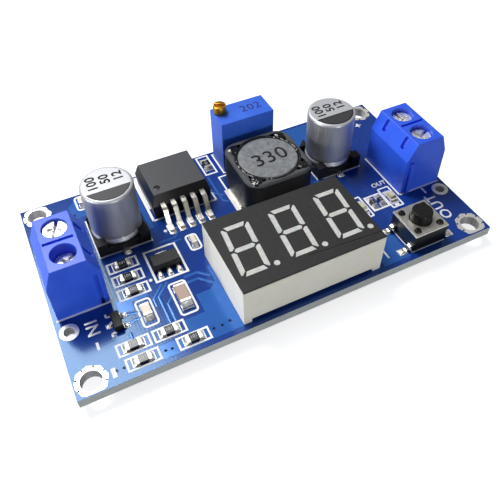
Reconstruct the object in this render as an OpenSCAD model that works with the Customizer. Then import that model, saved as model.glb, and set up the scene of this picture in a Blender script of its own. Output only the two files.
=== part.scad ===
// Step-down (buck) converter module: a two-sided circuit board with screw terminals at both ends,
// a TO-263 switching regulator, a shielded power inductor, two electrolytic capacitors, a
// multi-turn trimmer, a three-digit numeric display and a tact switch.
// Origin: centre of the board's underside. +X towards the output terminal, +Z up. Millimetres.

/* [Board] */
// Board length
board_l = 66.8; // [66:0.2:72]
// Board width
board_w = 36.8; // [36.6:0.2:40]
// Board thickness
board_t = 1.6; // [1:0.1:2.4]
// Thickness of the copper pads and of the plating in the holes
plating_t = 0.05; // [0.04:0.01:0.08]
// Play between a plated hole's barrel and the board
plating_gap = 0.02; // [0.01:0.01:0.04]
// How far the leads stand out below the board
lead_out = 1.5; // [1:0.1:2.2]

/* [Mounting holes] */
// Plated hole diameter
mount_d = 3; // [2.6:0.1:3.2]
// Hole centre from the board's short edge
mount_inset_x = 2.4; // [2.3:0.05:2.8]
// Hole centre from the board's long edge
mount_inset_y = 2.1; // [2.1:0.05:2.6]
// Corner radius of the octagonal ring round each hole
mount_ring_r = 2.35; // [2.2:0.05:2.4]
// Solder-mask margin left between a ring and the board's edge
ring_edge_gap = 0.2; // [0.1:0.05:0.3]
// Bare-wire hole diameter
wire_hole_d = 1.6; // [1.2:0.1:1.8]
// Thickness of the tinned wall inside a bare-wire hole
wire_wall_t = 0.14; // [0.14:0.01:0.2]
// Bare-wire hole ring diameter
wire_ring_d = 2.75; // [2.4:0.05:2.9]
// Bare-wire hole centre from the short edge
wire_hole_inset = 1.65; // [1.6:0.05:1.8]
// Half the distance between the two bare-wire holes of one end
wire_hole_y = 7.8; // [7.6:0.1:8.4]

/* [Screw terminals] */
// Distance between the two poles
pole_pitch = 5.08; // [5.08:0.02:5.2]
// Width across the board's end
term_w = 7.6; // [7.4:0.1:8]
// Height above the board
term_h = 10; // [9.6:0.1:11]
// Width of the flat top
term_top_w = 4.9; // [4.6:0.1:5.2]
// Height of the shoulders where the sides start to slope in
term_shoulder_h = 6.8; // [6.4:0.1:7.2]
// How far the inner side swells at its shoulder
term_swell = 0.1; // [0:0.05:0.2]
// Outer side of the housing from the board's short edge
term_inset = 0.7; // [0.5:0.05:0.9]
// Centre of the input terminal along the board's width
input_term_y = -0.15; // [-0.4:0.05:0.4]
// Centre of the output terminal along the board's width
output_term_y = -0.68; // [-0.9:0.02:0.4]
// Diameter of the screwdriver holes
driver_hole_d = 3.6; // [3.5:0.1:3.8]
// Width of a wire entry
wire_entry_w = 3.2; // [2.6:0.1:3.4]
// Height of a wire entry
wire_entry_h = 3.6; // [3:0.1:3.7]
// Thickness of the contact cage's floor and threaded roof
cage_t = 0.7; // [0.6:0.05:0.8]
// Thickness of the contact cage's sides
cage_side_t = 0.45; // [0.4:0.05:0.5]
// Length of the contact cage along the wire
cage_l = 4.6; // [4.2:0.1:4.8]
// Width of the contact cage
cage_w = 4; // [3.9:0.05:4.05]
// Height of the contact cage
cage_h = 5.4; // [5.2:0.1:5.5]
// Height of the cage's floor above the board
cage_lift = 0.5; // [0.4:0.05:0.6]
// Play between the cage and the housing's pocket
cage_gap = 0.05; // [0.02:0.01:0.06]

/* [Clamp screws] */
// Head diameter
screw_head_d = 3.4; // [3:0.05:3.4]
// Head height
screw_head_h = 1.5; // [1.2:0.05:1.6]
// Thread diameter
screw_d = 2.9; // [2.4:0.1:3]
// Thread length below the head
screw_l = 4; // [3.8:0.05:4]
// Radial clearance of the screw in the cage's thread and of the pressure plate's swivel
screw_gap = 0.05; // [0.03:0.01:0.08]
// Pressure plate thickness
plate_t = 0.4; // [0.3:0.05:0.45]
// Pressure plate length along the wire
plate_l = 3.4; // [3:0.1:3.8]
// Swivel pin diameter at the screw's tip
swivel_d = 1.4; // [1.2:0.1:1.6]
// Thickness of the riveted lip below the pressure plate
swivel_lip_t = 0.2; // [0.15:0.05:0.25]
// Depth of the input terminal's back screw below the top
input_back_drop = 0.4; // [0.3:0.1:2.5]
// Depth of the input terminal's front screw below the top
input_front_drop = 1.9; // [0.3:0.1:2.5]
// Depth of the output terminal's back screw below the top
output_back_drop = 0.8; // [0.3:0.1:2.5]
// Depth of the output terminal's front screw below the top
output_front_drop = 0.8; // [0.3:0.1:2.5]

/* [Capacitors] */
// Can diameter
can_d = 8; // [7.6:0.1:8.2]
// Height of the can's top above the board
can_top = 10.4; // [9.6:0.1:11.4]
// Side of the square base
cap_base_w = 8.3; // [8.2:0.05:8.5]
// Thickness of the base
cap_base_t = 1.2; // [1:0.05:1.4]
// Height of the posts on the base's corners
cap_post_h = 1.1; // [0.8:0.05:1.4]
// Chamfer on the base's two back corners
cap_chamfer = 1.5; // [1.2:0.1:1.8]
// Input capacitor position
input_cap_x = -20; // [-20.4:0.05:-19.6]
input_cap_y = 7.35; // [7:0.05:7.8]
// Output capacitor position
output_cap_x = 18.65; // [18.4:0.05:19.4]
output_cap_y = 7.5; // [7:0.05:8]

/* [Switching regulator] */
// Moulded body width at the parting line
reg_w = 10; // [9.8:0.05:10.2]
// Moulded body length at the parting line
reg_l = 9.2; // [8.8:0.05:9.4]
// Top of the body above the board
reg_h = 4.5; // [4.3:0.05:4.7]
// Draft of the upper half, each side
reg_draft = 0.6; // [0.4:0.05:0.8]
// Centre of the body
reg_x = -8.87; // [-9.1:0.01:-8.6]
reg_y = 11.85; // [11.7:0.05:12]
// Heat tab thickness
reg_tab_t = 1.3; // [1.2:0.05:1.4]
// How far the heat tab stands out behind the body
reg_tab_out = 1.3; // [1.1:0.05:1.5]
// Lead pitch
reg_pitch = 1.7; // [1.65:0.01:1.78]
// Lead width
reg_lead_w = 0.8; // [0.7:0.05:0.9]
// How far the leads reach out from the body
reg_lead_out = 4; // [3.8:0.1:4.2]
// Length of a lead's foot
reg_foot_l = 1.5; // [1.3:0.1:1.7]
// Lead thickness
reg_lead_t = 0.5; // [0.4:0.05:0.55]

/* [Power inductor] */
// Side of the square ferrite shield
coil_w = 11.8; // [11.5:0.1:12]
// Height above the board
coil_h = 7; // [6.6:0.1:7.4]
// Corner radius of the shield
coil_corner_r = 2.6; // [2.2:0.1:3]
// Bore of the shield
coil_bore_d = 10.8; // [10.6:0.05:10.9]
// Flange diameter of the drum core
core_d = 9.8; // [9.6:0.05:10]
// Thickness of the core's flanges
core_flange_t = 1.2; // [1:0.1:1.5]
// Centre of the inductor
coil_x = 5.75; // [5.6:0.05:5.9]
coil_y = 5.5; // [5.3:0.05:5.7]

/* [Trimmer] */
// Body length
trim_l = 9.53; // [9.4:0.01:9.6]
// Body width
trim_w = 4.83; // [4.7:0.01:4.9]
// Body height above the board
trim_h = 10.03; // [9.8:0.01:10.4]
// Centre of the body
trim_x = 5.67; // [5.5:0.01:5.8]
trim_y = 15.03; // [15:0.01:15.3]
// Adjustment screw diameter
trim_screw_d = 2.2; // [2:0.05:2.3]
// Height of the adjustment screw above the body
trim_screw_h = 1.5; // [1.3:0.05:1.6]
// Screw centre from the body's left end
trim_screw_x = 1.2; // [1.15:0.05:1.5]
// Screw centre from the body's back side
trim_screw_y = 1.35; // [1.3:0.05:1.6]

/* [Display] */
// Housing length
disp_l = 22.5; // [22.3:0.1:22.7]
// Housing width
disp_w = 14; // [13.9:0.1:14.1]
// Height of the face above the board
disp_h = 7.25; // [7:0.05:7.8]
// Centre of the display
disp_x = 1.64; // [1.5:0.02:1.8]
disp_y = -10.43; // [-10.6:0.01:-10.4]
// Height of the gap between the feet
disp_foot_h = 0.7; // [0.5:0.05:0.9]
// Length of a corner foot
disp_foot_l = 1.25; // [1:0.05:1.5]
// Wall thickness of the housing
disp_wall = 1; // [0.8:0.05:1.2]
// Thickness of the black face layer
disp_face_t = 0.25; // [0.2:0.05:0.3]
// Distance between digits
digit_pitch = 7.55; // [7.5:0.05:7.6]
// Digit height, outside
digit_h = 9.4; // [9:0.1:9.6]
// Digit width, outside
digit_w = 4.5; // [4.3:0.1:4.6]
// Segment width
segment_w = 0.88; // [0.8:0.02:0.94]
// Slant of the digits in degrees
digit_slant = 5; // [4:0.5:6]
// Diameter of the decimal points
point_d = 1; // [0.9:0.05:1.1]

/* [Tact switch] */
// Side of the square body
switch_w = 6; // [5.9:0.05:6.1]
// Height of the metal cover above the board
switch_body_h = 3.5; // [3.3:0.05:3.7]
// Height of the pressed face of the button above the board
switch_h = 5.2; // [4.9:0.05:6]
// Button diameter
button_d = 3.4; // [3.2:0.05:3.5]
// Radial clearance of the button in the cover
button_gap = 0.1; // [0.06:0.01:0.1]
// Button travel
button_travel = 0.25; // [0.2:0.01:0.3]
// Centre of the switch
switch_x = 22.1; // [21.9:0.05:22.4]
switch_y = -14.15; // [-14.3:0.05:-14.1]

/* [Small parts] */
// Thickness of the solder between a small part and its pad
solder_t = 0.05; // [0.03:0.01:0.06]
// Chip resistor length, width and height
resistor_l = 2; // [1.9:0.05:2.1]
resistor_w = 1.25; // [1.15:0.05:1.35]
resistor_h = 0.5; // [0.45:0.05:0.6]
// Length of the tinned ends of the chips
chip_end = 0.35; // [0.25:0.05:0.45]

/* [Hidden] */
$fn = 48;
eps = 0.01;                     // overshoot of a cut past the face it opens

// Two places along the board, and how far each lies in from its end. On another board length, what
// stands beyond them keeps its distance from that end, and the parts between share the change.
laid_x = [-20, 29.2];
laid_in = [13.4, 4.2];
function along(x) =
    let (share = min(max((x - laid_x[0]) / (laid_x[1] - laid_x[0]), 0), 1),
         move = [laid_in[0] - board_l / 2 - laid_x[0], board_l / 2 - laid_in[1] - laid_x[1]])
    x + move[0] * (1 - share) + move[1] * share;

// Centres of the larger parts along the board
input_cap_cx = along(input_cap_x);
output_cap_cx = along(output_cap_x);
reg_cx = along(reg_x);
coil_cx = along(coil_x);
trim_cx = along(trim_x);
disp_cx = along(disp_x);
switch_cx = along(switch_x);

// Heights
pad_top = board_t + plating_t;  // upper side of the copper pads
seat = pad_top + solder_t;      // underside of every surface-mounted lead

// Hole places
mount_x = board_l / 2 - mount_inset_x;
mount_y = board_w / 2 - mount_inset_y;
wire_hole_x = board_l / 2 - wire_hole_inset;

// Through-hole leads
pin_gap = 0.2;                  // board hole radius over lead radius
solder_fit = 0.02;              // solder cone bore radius over lead radius
pin_land = 0.65;                // width of the land round a lead hole
cone_h = 1;                     // height of a solder cone

// Terminals
term_l = 2 * pole_pitch;
term_x = board_l / 2 - term_inset - term_w / 2;
pole_ys = [-pole_pitch / 2, pole_pitch / 2];
contact_pin_d = 1;
cage_x = -0.2;                  // centre of the cage along the wire, from the housing's centre
cage_top = cage_lift + cage_h;
plate_side_gap = 0.1;           // play of the pressure plate between the cage's sides
plate_w = cage_w - 2 * cage_side_t - 2 * plate_side_gap;

// Display pins: two rows of six
disp_pin_d = 0.5;
disp_pin_pitch = 2.54;
disp_pin_xs = [for (i = [-2.5 : 2.5]) i * disp_pin_pitch];
disp_pin_ys = [-5.08, 5.08];
disp_base_t = 1.2;
disp_base_z = board_t + 1.7;    // underside of the potted carrier, clear of the controller below it

// Trimmer pins: three in line
trim_pin_d = 0.5;
trim_pin_xs = [-2.54, 0, 2.54];

// Every through-hole lead as [x, y, diameter]
leads = concat(
    [for (y = pole_ys) [-term_x + cage_x, input_term_y + y, contact_pin_d]],
    [for (y = pole_ys) [term_x - cage_x, output_term_y + y, contact_pin_d]],
    [for (x = disp_pin_xs, y = disp_pin_ys) [disp_cx + x, disp_y + y, disp_pin_d]],
    [for (x = trim_pin_xs) [trim_cx + x, trim_y, trim_pin_d]]
);

// Chips as [x, y, turn, length, width, height]
resistors = concat(
    [for (y = [0.33, -2.38, -5.09]) [along(-21.55), y, 0, resistor_l, resistor_w, resistor_h]],
    [for (p = [[-24.4, -13.75], [-19.25, -13.75], [-23.9, -16.35], [-16.65, -16.35]])
        [along(p[0]), p[1], 0, resistor_l, resistor_w, resistor_h]],
    [[along(-1.3), 15.53, 90, resistor_l, resistor_w, resistor_h]],
    [for (x = [19.6, 21.1]) [along(x), -5.65, 90, 1.6, 0.8, 0.45]]
);
ceramics = [
    [along(-15.5), -9.3, 90, 3.2, 1.6, 1.3], [along(-21.05), -9.45, 90, 2, 1.25, 0.9],
    [along(-10.15), -0.15, 90, 1.6, 0.8, 0.8], [along(-23.7), 16.2, 90, 1.6, 0.8, 0.8]
];
leds = [for (x = [23.2, 17.4]) [along(x), -5.75, 90, 2, 1.25, 0.8]];
led_base_t = 0.35;
led_lens = [1.3, 1.15];
led_lens_draft = 0.1;
chip_step = 0.02;               // how far a chip's tinned ends stand out past its body
pad_reach = 0.6;                // how far a chip's pad stands out past its end
pad_under = 0.45;               // how far a chip's pad reaches in under it

// SOT-89 logic regulator
sot89 = [along(-15.55), -2.3];
sot89_body = [4.5, 2.5, 1.5];
sot89_pitch = 1.5;
sot89_lead = [0.45, 1.0, 0.4];
sot89_tab = [1.75, 0.75, 0.4];

// SOT-23 transistor, single lead towards the input terminal
sot23 = [along(-25.35), -9.35];
sot23_body = [1.3, 2.9, 1.0];
sot23_pitch = 0.95;

// Catch diode behind the display
diode = [along(-4.4), -1.3];
diode_body = [4.3, 2.6, 2.2];
diode_lead_w = 1.5;

// Display controller under the display: twenty leads in two rows
chip = [disp_cx, disp_y];
chip_body = [6.5, 4.4, 1.0];
chip_pitch = 0.65;
chip_leads = 10;
chip_span = 6.4;
chip_lead_t = 0.15;

// Spots where a part's leads stand, for pads as [x, y, size along X, size along Y]
reg_foot_y = reg_y - reg_l / 2 - reg_lead_out + 0.8;
cap_lead_out = 0.9;
switch_lead_x = 4.5;            // tip of the switch's leads from its centre
switch_lead_dy = 2.25;
switch_lead_in = 0.25;          // length of each lead inside the base
pads = concat(
    [for (c = concat(resistors, ceramics, leds), s = [-1, 1])
        let (d = s * (c[3] / 2 + (pad_reach - pad_under) / 2), along = pad_reach + pad_under,
             across = c[4] + 0.1)
        c[2] == 0 ? [c[0] + d, c[1], along, across] : [c[0], c[1] + d, across, along]],
    [for (i = [-2 : 2]) [reg_cx + i * reg_pitch, reg_foot_y - 0.1, reg_lead_w + 0.3, 2.2]],
    [[reg_cx, reg_y + reg_l / 2 - 2.6, reg_w + 0.2, 8.4]],
    [for (c = [[input_cap_cx, input_cap_y], [output_cap_cx, output_cap_y]], s = [-1, 1])
        [c[0], c[1] + s * (cap_base_w / 2 - 0.6), 1.2, 3.4]],
    [for (s = [-1, 1]) [coil_cx + s * (coil_w / 2 - 0.6), coil_y, 3.2, 5.4]],
    [for (sx = [-1, 1], sy = [-1, 1])
        [switch_cx + sx * (switch_lead_x - 0.1), switch_y + sy * switch_lead_dy, 1.3, 1.2]],
    [for (i = [-1 : 1]) [sot89[0] + i * sot89_pitch, sot89[1] - sot89_body[1] / 2 - 0.7, 0.8, 1.2]],
    [[sot89[0], sot89[1] + sot89_body[1] / 2 + 0.1, 2, 2]],
    [[sot23[0] - 1.15, sot23[1], 0.9, 0.7]],
    [for (s = [-1, 1]) [sot23[0] + 1.15, sot23[1] + s * sot23_pitch, 0.9, 0.7]],
    [for (s = [-1, 1]) [diode[0] + s * 2.2, diode[1], 1.8, 1.8]],
    [for (i = [0 : chip_leads - 1], s = [-1, 1])
        [chip[0] + (i - (chip_leads - 1) / 2) * chip_pitch, chip[1] + s * chip_span / 2, 0.35, 1]]
);

// ---------------------------------------------------------------- helpers

// Outline of a strip of thickness t whose middle line runs through the given points
function strip(path, t) =
    let (n = len(path),
         unit = function (v) v / norm(v),
         side = function (v) [-v[1], v[0]],
         mitre = [for (i = [0 : n - 1])
             let (a = i == 0 ? unit(path[1] - path[0]) : unit(path[i] - path[i - 1]),
                  b = i == n - 1 ? a : unit(path[i + 1] - path[i]),
                  m = unit(side(a) + side(b)))
             m * (t / 2) / (m * side(a))])
    concat([for (i = [0 : n - 1]) path[i] + mitre[i]],
           [for (i = [n - 1 : -1 : 0]) path[i] - mitre[i]]);

// Points of an arc from angle a0 to a1, in n steps
function arc(c, r, a0, a1, n = 5) = [for (i = [0 : n]) let (a = a0 + (a1 - a0) * i / n)
    c + r * [cos(a), sin(a)]];

// Bent strip: middle line in the Y-Z plane, width along X, centred
module bent_lead(path, t, w) {
    rotate([90, 0, 90]) linear_extrude(w, center = true) polygon(strip(path, t));
}

// Gull-wing lead leaving the body at height z towards +Y, its foot's underside at z = 0
module gull_lead(z, reach, foot, t, w, root = 0) {
    knee = reach * 0.3;
    bent_lead([[-root, z], [knee - 0.15, z], [knee + 0.12, z - 0.18], [reach - foot - 0.1, t / 2 + 0.12],
        [reach - foot + 0.12, t / 2], [reach, t / 2]], t, w);
}

// Block whose sides lean in by d each over its height
module drafted(size, d) {
    hull() {
        translate([-size[0] / 2, -size[1] / 2, 0]) cube([size[0], size[1], eps]);
        translate([-size[0] / 2 + d, -size[1] / 2 + d, size[2] - eps])
            cube([size[0] - 2 * d, size[1] - 2 * d, eps]);
    }
}

// Block centred in X and Y on the origin, standing on z = 0
module block(size) {
    translate([-size[0] / 2, -size[1] / 2, 0]) cube(size);
}

// Square with rounded corners, as a solid standing on z = 0
module rounded_block(w, r, h) {
    block([w, w - 2 * r, h]);
    block([w - 2 * r, w, h]);
    for (sx = [-1, 1], sy = [-1, 1])
        translate([sx * (w / 2 - r), sy * (w / 2 - r), 0]) cylinder(r = r, h = h);
}

// Places each terminal: the input one faces -X, the output one is the same part turned round
module at_input() { translate([-term_x, input_term_y, board_t]) children(); }
module at_output() { translate([term_x, output_term_y, board_t]) rotate([0, 0, 180]) children(); }

// ---------------------------------------------------------------- board

module circuit_board() {
    color("royalblue") difference() {
        block([board_l, board_w, board_t]);
        for (sx = [-1, 1], sy = [-1, 1]) {
            translate([sx * mount_x, sy * mount_y, -eps])
                cylinder(d = mount_d + 2 * (plating_t + plating_gap), h = board_t + 2 * eps);
            translate([sx * wire_hole_x, sy * wire_hole_y, -eps])
                cylinder(d = wire_hole_d + 2 * (wire_wall_t + plating_gap), h = board_t + 2 * eps);
        }
        for (p = leads) translate([p[0], p[1], -eps])
            cylinder(d = p[2] + 2 * pin_gap, h = board_t + 2 * eps, $fn = 32);
    }
}

// One plated hole: a ring on each side of the board, joined by the barrel
module plated_hole(x, y, d, wall_t, ring_d, sides) {
    barrel_d = d + 2 * wall_t;
    difference() {
        union() {
            intersection() {
                union() for (z = [-plating_t, board_t]) translate([x, y, z])
                    cylinder(d = ring_d, h = plating_t, $fn = sides);
                translate([0, 0, -plating_t]) block([
                    board_l - 2 * ring_edge_gap, board_w - 2 * ring_edge_gap, board_t + 2 * plating_t]);
            }
            translate([x, y, -plating_t]) cylinder(d = barrel_d, h = board_t + 2 * plating_t);
        }
        translate([x, y, -plating_t - eps]) cylinder(d = d, h = board_t + 2 * (plating_t + eps));
    }
}

module plated_holes() {
    color("silver") for (sx = [-1, 1], sy = [-1, 1]) {
        plated_hole(sx * mount_x, sy * mount_y, mount_d, plating_t, 2 * mount_ring_r, 8);
        plated_hole(sx * wire_hole_x, sy * wire_hole_y, wire_hole_d, wire_wall_t, wire_ring_d, 48);
    }
}

// Surface pads, and a land round each through-hole lead on the underside
module solder_pads() {
    color("gainsboro") {
        for (p = pads) translate([p[0], p[1], board_t]) block([p[2], p[3], plating_t]);
        for (p = leads) translate([p[0], p[1], -plating_t]) difference() {
            cylinder(d = p[2] + 2 * (pin_gap + pin_land), h = plating_t, $fn = 24);
            translate([0, 0, -eps]) cylinder(d = p[2] + 2 * pin_gap, h = plating_t + 2 * eps, $fn = 24);
        }
    }
}

module solder_joints() {
    color("lightgray") for (p = leads) translate([p[0], p[1], -plating_t - cone_h]) difference() {
        cylinder(d1 = p[2] + 0.3, d2 = p[2] + 2 * (pin_gap + pin_land) - 0.2, h = cone_h, $fn = 24);
        translate([0, 0, -eps]) cylinder(d = p[2] + 2 * solder_fit, h = cone_h + 2 * eps, $fn = 24);
    }
}

// ---------------------------------------------------------------- screw terminals

// Section across a terminal; the wire side is -X
term_section = [
    [-term_w / 2, 0], [-term_w / 2 + 0.15, term_shoulder_h], [-term_top_w / 2, term_h],
    [term_top_w / 2, term_h], [term_w / 2 + term_swell, term_shoulder_h], [term_w / 2, 0]
];
joiner_x = 2.85;                // centre of the dovetail that joins terminals side by side
joiner_h = term_shoulder_h - 0.3;
probe_slot_l = 2.2;
probe_slot_ds = [0.2, 0.75];    // width of the probe slot at its top and bottom
groove = [4.2, 0.45, 0.5];      // parting groove between the two screws: length, width, depth
flare = 0.25;                   // how far the mouth of a wire entry is wider on each side
flare_l = 0.4;                  // depth of that mouth

module dovetail(play) {
    linear_extrude(joiner_h + play) polygon([
        [-0.18 - play, -eps], [0.18 + play, -eps], [0.32 + play, 0.45 + play], [-0.32 - play, 0.45 + play]
    ]);
}

module terminal_housing() {
    inner_slope = atan2(term_h - term_shoulder_h, (term_w - term_top_w) / 2 + term_swell);
    pocket_w = cage_w + 2 * cage_gap;
    entry_z = cage_lift + cage_t + (cage_h - 2 * cage_t - wire_entry_h) / 2;
    difference() {
        union() {
            rotate([90, 0, 0]) linear_extrude(term_l, center = true) polygon(term_section);
            translate([joiner_x, term_l / 2, 0]) dovetail(0);
        }
        translate([joiner_x, -term_l / 2, -eps]) dovetail(0.06);
        translate([-0.1, 0, term_h - groove[2]]) block([groove[0], groove[1], 2 * groove[2]]);
        for (y = pole_ys) translate([0, y, 0]) {
            cylinder(d = driver_hole_d, h = 2 * term_h);
            translate([cage_x, 0, -eps])
                block([cage_l + 2 * cage_gap, pocket_w, cage_top + cage_gap + eps]);
            translate([-term_w, -wire_entry_w / 2, entry_z]) cube([term_w, wire_entry_w, wire_entry_h]);
            translate([-term_w / 2 - 0.5, -wire_entry_w / 2 - flare, entry_z - flare])
                cube([flare_l + 0.5, wire_entry_w + 2 * flare, wire_entry_h + 2 * flare]);
            // probe slot: a groove that widens down the inner slope
            translate([term_top_w / 2 + 0.12, 0, term_h]) rotate([0, 90 + inner_slope, 0])
                cylinder(d1 = probe_slot_ds[0], d2 = probe_slot_ds[1], h = probe_slot_l, $fn = 24);
        }
    }
}

module terminal_contacts() {
    for (y = pole_ys) translate([cage_x, y, 0]) {
        difference() {
            translate([0, 0, cage_lift]) block([cage_l, cage_w, cage_h]);
            translate([0, 0, cage_lift + cage_t])
                block([2 * cage_l, cage_w - 2 * cage_side_t, cage_h - 2 * cage_t]);
            translate([-cage_x, 0, cage_top - 2 * cage_t])
                cylinder(d = screw_d + 2 * screw_gap, h = 3 * cage_t);
        }
        translate([0, 0, -board_t - lead_out])
            cylinder(d = contact_pin_d, h = board_t + lead_out + cage_lift);
    }
}

// Height of the screw's tip above the board, for a head that lies drop below the housing's top
function tip_z(drop) = term_h - drop - screw_head_h - screw_l;

module clamp_plate(drop) {
    translate([0, 0, tip_z(drop) - screw_gap - plate_t]) difference() {
        block([plate_l, plate_w, plate_t]);
        translate([0, 0, -eps]) cylinder(d = swivel_d + 2 * screw_gap, h = plate_t + 2 * eps);
    }
}

module clamp_screw(drop) {
    recess_w = 0.55;
    recess_h = 0.7;
    tip = tip_z(drop);
    lip_z = tip - plate_t - 2 * screw_gap - swivel_lip_t;
    difference() {
        union() {
            translate([0, 0, tip + screw_l]) cylinder(d = screw_head_d, h = screw_head_h);
            translate([0, 0, tip]) cylinder(d = screw_d, h = screw_l);
            translate([0, 0, lip_z]) cylinder(d = swivel_d, h = tip - lip_z);
            translate([0, 0, lip_z]) cylinder(d = swivel_d + 0.5, h = swivel_lip_t);
        }
        translate([0, 0, term_h - drop - recess_h]) {
            block([2 * screw_head_d, recess_w, 2 * recess_h]);
            block([recess_w, screw_head_d * 0.62, 2 * recess_h]);
        }
    }
}

module input_terminal_housing() { color("dodgerblue") at_input() terminal_housing(); }
module output_terminal_housing() { color("dodgerblue") at_output() terminal_housing(); }
module input_terminal_contacts() { color("silver") at_input() terminal_contacts(); }
module output_terminal_contacts() { color("silver") at_output() terminal_contacts(); }

// The front pole lies towards -Y; the output terminal is turned round, so its front pole is its +Y one
module input_clamp_plate_front() {
    color("silver") at_input() translate([0, pole_ys[0], 0]) clamp_plate(input_front_drop);
}
module input_clamp_plate_back() {
    color("silver") at_input() translate([0, pole_ys[1], 0]) clamp_plate(input_back_drop);
}
module input_clamp_screw_front() {
    color("whitesmoke") at_input() translate([0, pole_ys[0], 0])
        rotate([0, 0, 35]) clamp_screw(input_front_drop);
}
module input_clamp_screw_back() {
    color("whitesmoke") at_input() translate([0, pole_ys[1], 0])
        rotate([0, 0, 70]) clamp_screw(input_back_drop);
}
module output_clamp_plate_front() {
    color("silver") at_output() translate([0, pole_ys[1], 0]) clamp_plate(output_front_drop);
}
module output_clamp_plate_back() {
    color("silver") at_output() translate([0, pole_ys[0], 0]) clamp_plate(output_back_drop);
}
module output_clamp_screw_front() {
    color("whitesmoke") at_output() translate([0, pole_ys[1], 0])
        rotate([0, 0, 20]) clamp_screw(output_front_drop);
}
module output_clamp_screw_back() {
    color("whitesmoke") at_output() translate([0, pole_ys[0], 0])
        rotate([0, 0, 100]) clamp_screw(output_back_drop);
}

// ---------------------------------------------------------------- electrolytic capacitors

can_seat = board_t + solder_t + plating_t + cap_base_t;   // underside of a can
bead_z = 1.0;                                             // height of the crimp groove on the can
cap_lead_t = 0.3;

module capacitor_can() {
    r = can_d / 2;
    h = board_t + can_top - can_seat;
    fillet = 0.45;
    groove = 0.28;
    color("lightgray") translate([0, 0, can_seat]) rotate_extrude($fn = 64) polygon(concat(
        [[0, 0], [r - 0.35, 0]], arc([r - 0.35, 0.35], 0.35, -90, 0, 3),
        arc([r + 0.12, bead_z], 0.12 + groove, 240, 120, 4),
        arc([r - fillet, h - fillet], fillet, 0, 90, 5), [[0, h]]
    ));
}

module capacitor_base() {
    half = cap_base_w / 2;
    c = cap_chamfer;
    color("black") translate([0, 0, seat]) difference() {
        linear_extrude(cap_base_t + cap_post_h) polygon([
            [-half, -half], [half, -half], [half, half - c], [half - c, half],
            [c - half, half], [-half, half - c]
        ]);
        // seat of the can, leaving a post on each corner
        translate([0, 0, cap_base_t]) cylinder(d = can_d + 0.16, h = 2 * cap_post_h, $fn = 64);
        for (turn = [0, 90]) rotate([0, 0, turn]) translate([0, 0, cap_base_t])
            block([2 * cap_base_w, 5.2, 2 * cap_post_h]);
        // slots for the leads
        for (s = [-1, 1]) translate([-0.45, s > 0 ? 0.8 : -half - 1, -eps])
            cube([0.9, half + 0.2, cap_lead_t + 0.02 + eps]);
    }
}

module capacitor_leads() {
    half = cap_base_w / 2;
    color("silver") for (s = [-1, 1])
        translate([-0.4, s > 0 ? 0.9 : -half - cap_lead_out, seat])
            cube([0.8, half + cap_lead_out - 0.9, cap_lead_t]);
}

module input_capacitor_can() { translate([input_cap_cx, input_cap_y, 0]) capacitor_can(); }
module input_capacitor_base() { translate([input_cap_cx, input_cap_y, 0]) capacitor_base(); }
module input_capacitor_leads() { translate([input_cap_cx, input_cap_y, 0]) capacitor_leads(); }
module output_capacitor_can() { translate([output_cap_cx, output_cap_y, 0]) capacitor_can(); }
module output_capacitor_base() { translate([output_cap_cx, output_cap_y, 0]) capacitor_base(); }
module output_capacitor_leads() { translate([output_cap_cx, output_cap_y, 0]) capacitor_leads(); }

// ---------------------------------------------------------------- switching regulator

reg_part_z = 2.35;              // height of the mould's parting line above the seat
reg_tab_w = reg_w - 0.6;
reg_lead_z = reg_part_z + 0.3;
reg_lead_root = 0.7;            // how far a lead reaches into the body
reg_pin1 = [-3.35, -2.5];       // moulded dimple from the body's centre
reg_pin1_d = 1;
tab_snip = 1.1;                 // side of the square snipped off each back corner of the tab

module regulator_tab_blank(play) {
    translate([reg_cx, reg_y + reg_tab_out / 2 + 0.6, seat - play]) difference() {
        block([reg_tab_w + 2 * play, reg_l + reg_tab_out - 1.2 + 2 * play, reg_tab_t + 2 * play]);
        // snipped back corners
        for (s = [-1, 1]) translate([s * (reg_tab_w / 2 + play), (reg_l + reg_tab_out - 1.2) / 2 + play, -1])
            rotate([0, 0, 45]) block([tab_snip, tab_snip, 4]);
    }
}

module regulator_body() {
    top_h = board_t + reg_h - seat - reg_part_z;
    color([0.16, 0.16, 0.17]) difference() {
        translate([reg_cx, reg_y, seat]) {
            translate([0, 0, reg_part_z]) drafted([reg_w, reg_l, top_h], reg_draft);
            mirror([0, 0, 1]) translate([0, 0, -reg_part_z]) drafted([reg_w, reg_l, reg_part_z - 0.05], 0.15);
        }
        regulator_tab_blank(0.01);
        for (i = [-2 : 2]) translate([reg_cx + i * reg_pitch, reg_y - reg_l / 2, seat + reg_lead_z])
            translate([-reg_lead_w / 2 - eps, -1, -reg_lead_t / 2 - eps])
                cube([reg_lead_w + 2 * eps, reg_lead_root + 1.1, reg_lead_t + 2 * eps]);
        translate([reg_cx + reg_pin1[0], reg_y + reg_pin1[1], board_t + reg_h - 0.12])
            cylinder(d = reg_pin1_d, h = 1, $fn = 24);
    }
}

module regulator_tab() { color("silver") regulator_tab_blank(0); }

module regulator_leads() {
    color("silver") for (i = [-2 : 2])
        translate([reg_cx + i * reg_pitch, reg_y - reg_l / 2, seat]) mirror([0, 1, 0])
            gull_lead(reg_lead_z, reg_lead_out, reg_foot_l, reg_lead_t, reg_lead_w, reg_lead_root);
}

// ---------------------------------------------------------------- power inductor

coil_term_t = 0.3;
coil_term_l = 3.2;
coil_term_out = 0.25;
coil_term_w = 4.8;
core_post_r = core_d * 0.28;    // radius of the post that the winding goes round
glue_t = 1;                     // depth of the glue
lobe_d = 3.2;                   // diameter of the lobe that the bore has towards each corner
lobe_at = 4.75;                 // centre of a lobe from the centre of the bore
lobe_depth = 1.4;
coil_z = seat + coil_term_t;    // underside of the ferrite
coil_top = board_t + coil_h;
rim_chamfer = 0.35;

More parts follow.
